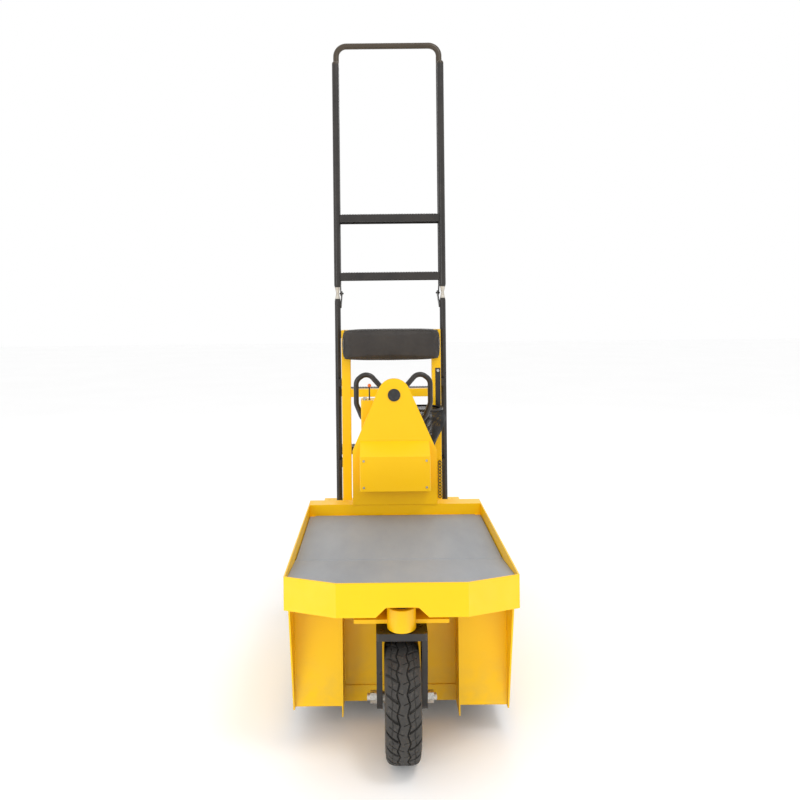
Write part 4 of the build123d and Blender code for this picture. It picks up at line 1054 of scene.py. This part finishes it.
def make_fasteners():
    """Button-head screws along the drive cover, on the bumper and at the cowl's corners."""
    head = [(0, -1 * MM), (6.5 * MM, -1 * MM), (6.5 * MM, 1.2 * MM), (5 * MM, 3.2 * MM),
            (2.6 * MM, 3.9 * MM), (2.4 * MM, 2.2 * MM), (0, 2.2 * MM)]
    cover_low, cover_high = (np.array(corner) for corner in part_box("drive_cover"))
    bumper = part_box("rear_bumper")
    spots = [(x, cover_high[1], cover_low[2] + 22 * MM)
             for x in np.linspace(cover_low[0] + 25 * MM, cover_high[0] - 25 * MM, 4)]
    screws = turned("drive_cover_screws", spots, head, turns=20, axis="Y")
    finish_piece(screws, "chassis", "zinc")
    middle_z = (bumper[0][2] + bumper[1][2]) / 2
    spots = [(x, bumper[1][1], middle_z)
             for x in np.linspace(bumper[0][0] + 60 * MM, bumper[1][0] - 60 * MM, 4)]
    bolts = turned("bumper_bolts", spots, head, turns=20, axis="Y")
    finish_piece(bolts, "chassis", "zinc")
    cowl_low, cowl_high = (np.array(corner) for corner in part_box("column_cowl"))
    spots = [(side * (cowl_high[0] - 20 * MM), cowl_high[1], z) for side in SIDES
             for z in (cowl_low[2] + 30 * MM, cowl_high[2] - 30 * MM)]
    cowl_screws = turned("cowl_screws", spots, head, turns=20, axis="Y")
    finish_piece(cowl_screws, "chassis", "zinc")


make_fasteners()


def make_deck_grip():
    """Rows of raised lozenges on the rear deck between the posts and the ladder's foot."""
    low, high = (np.array(corner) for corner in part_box("rear_deck"))
    x = np.arange(low[0] + 30 * MM, high[0] - 25 * MM, 24 * MM)
    y = np.arange(low[1] + 22 * MM, high[1] - 15 * MM, 24 * MM)
    xs, ys = np.meshgrid(x, y, indexing="ij")
    odd = (np.arange(len(x))[:, None] + np.arange(len(y))[None]) % 2
    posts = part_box("backrest_posts")
    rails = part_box("ladder_rails")
    clear_post = (np.abs(np.abs(xs) - (posts[1][0] - 25 * MM)) > 42 * MM) | (
        np.abs(ys - (posts[0][1] + posts[1][1]) / 2) > 42 * MM)
    clear_rail = (np.abs(np.abs(xs) - (rails[1][0] - 17 * MM)) > 32 * MM) | (
        np.abs(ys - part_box("lower_treads")[0][1] - 10 * MM) > 32 * MM)
    for turn_index, word in ((0, "lengthwise"), (1, "crosswise")):
        keep = (odd == turn_index) & clear_post & clear_rail
        spots = np.stack([xs[keep], ys[keep], np.full(keep.sum(), high[2])], axis=-1)
        size = (20 * MM, 5 * MM) if turn_index else (5 * MM, 20 * MM)
        corners = np.array([(-1, 0), (-0.45, -1), (0.45, -1), (1, 0), (0.45, 1), (-0.45, 1)])
        foot = np.concatenate([corners * np.array(size) / 2, np.full((6, 1), -0.3 * MM)], axis=1)
        crest = np.concatenate([corners * np.array(size) / 2 * 0.55, np.full((6, 1), 1.3 * MM)],
                               axis=1)
        shape = np.concatenate([foot, crest])
        points = (spots[:, None] + shape[None]).reshape(-1, 3)
        ring = np.arange(6)
        after = (ring + 1) % 6
        walls = np.stack([ring, after, after + 6, ring + 6], axis=-1)
        offsets = np.arange(len(spots)) * 12
        faces = (walls[None] + offsets[:, None, None]).reshape(-1, 4).tolist()
        faces += (np.arange(6, 12)[None] + offsets[:, None]).tolist()
        faces += (np.arange(5, -1, -1)[None] + offsets[:, None]).tolist()
        mesh = bpy.data.meshes.new(f"deck_grip_{word}")
        mesh.from_pydata(points.tolist(), [], faces)
        mesh.update()
        grip = bpy.data.objects.new(f"deck_grip_{word}", mesh)
        bpy.context.collection.objects.link(grip)
        close_poles(grip)
        grip.data.shade_flat()
        finish_piece(grip, "chassis", "yellow_paint")


make_deck_grip()


def make_battery_cables():
    """Terminal posts on the batteries and the link cable arched between them."""
    low, high = (np.array(corner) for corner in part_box("batteries"))
    y = (low[1] + high[1]) / 2
    post = [(0, -1 * MM), (11 * MM, -1 * MM), (11 * MM, 5 * MM), (8 * MM, 8 * MM),
            (7 * MM, 20 * MM), (0, 20 * MM)]
    x = np.array((low[0] + 40 * MM, -40 * MM, 40 * MM, high[0] - 40 * MM))
    spots = np.stack([x, np.full(4, y), np.full(4, high[2])], axis=-1)
    posts = turned("battery_terminals", spots, post, turns=20)
    finish_piece(posts, "chassis", "zinc")
    share = np.linspace(0, 1, 24)
    arch = np.stack([x[1] + (x[2] - x[1]) * share, np.full(24, y),
                     high[2] + 14 * MM + 22 * MM * np.sin(share * math.pi)], axis=-1)
    link = tube_object("battery_link", arch[None], 6 * MM, sides=12)
    finish_piece(link, "chassis", "black_plastic")


make_battery_cables()


# ------------------------------------------------------------------ light, floor and camera
def area_light(name, place, target, size, power):
    """A large soft lamp aimed at a point."""
    lamp = bpy.data.lights.new(name, "AREA")
    lamp.shape = "RECTANGLE"
    lamp.size, lamp.size_y = size
    lamp.energy = power
    lamp_object = bpy.data.objects.new(name, lamp)
    bpy.context.collection.objects.link(lamp_object)
    lamp_object.location = place
    lamp_object.rotation_euler = (Vector(target) - Vector(place)).to_track_quat("-Z", "Y").to_euler()


def make_studio():
    """White floor plane, white surroundings, a key lamp, a fill lamp, two low lamps under the nose and
    a back lamp.
    """
    floor_shader = Shader("pale_floor", roughness=0.9)
    floor_shader.bsdf.inputs["Specular IOR Level"].default_value = 0.1
    tone = floor_shader.span(floor_shader.noise(0.7, 2.0), 0.3, 0.7)
    floor_shader.colour(floor_shader.mix(tone, (0.975, 0.975, 0.975), (0.99, 0.99, 0.99)))
    reach = 30.0
    floor = mesh_object("floor", [(-reach, -reach, 0), (reach, -reach, 0), (reach, reach, 0),
                                  (-reach, reach, 0)], [(0, 1, 2, 3)], smooth=False)
    floor.data.materials.append(floor_shader.material)
    world = bpy.data.worlds.new("white_room")
    world.use_nodes = True
    world.node_tree.nodes["Background"].inputs["Color"].default_value = (1, 1, 1, 1)
    world.node_tree.nodes["Background"].inputs["Strength"].default_value = 1.0
    bpy.context.scene.world = world
    bpy.context.scene.view_settings.view_transform = "Standard"
    area_light("key", (1.8, -2.6, 5.6), (0, -0.2, 0.7), (1.2, 1.2), 60)
    area_light("fill", (-3.2, -4.2, 2.0), (0, 0, 0.5), (2.5, 2.5), 45)
    for side in SIDES:
        area_light(f"under_nose_{'left' if side < 0 else 'right'}", (side * 0.9, -1.5, 0.3),
                   (0, -0.5, 0.35), (0.5, 0.4), 1.2)
    area_light("back", (0.6, 4.4, 4.6), (0, 0, 1.0), (2.0, 2.0), 30)


def make_camera():
    """Level view from in front at eye height, a little left of the middle."""
    lens = bpy.data.cameras.new("front_view")
    lens.lens = 31.5
    lens.sensor_width = 36
    lens.shift_x = 0.0275
    lens.shift_y = -0.1125
    camera = bpy.data.objects.new("front_view", lens)
    bpy.context.collection.objects.link(camera)
    camera.location = (-0.07, -3.205, 1.56)
    roll = math.radians(0.6)
    camera.rotation_euler = (math.radians(90), roll, 0)
    bpy.context.scene.camera = camera


dress_frame()
make_studio()
make_camera()
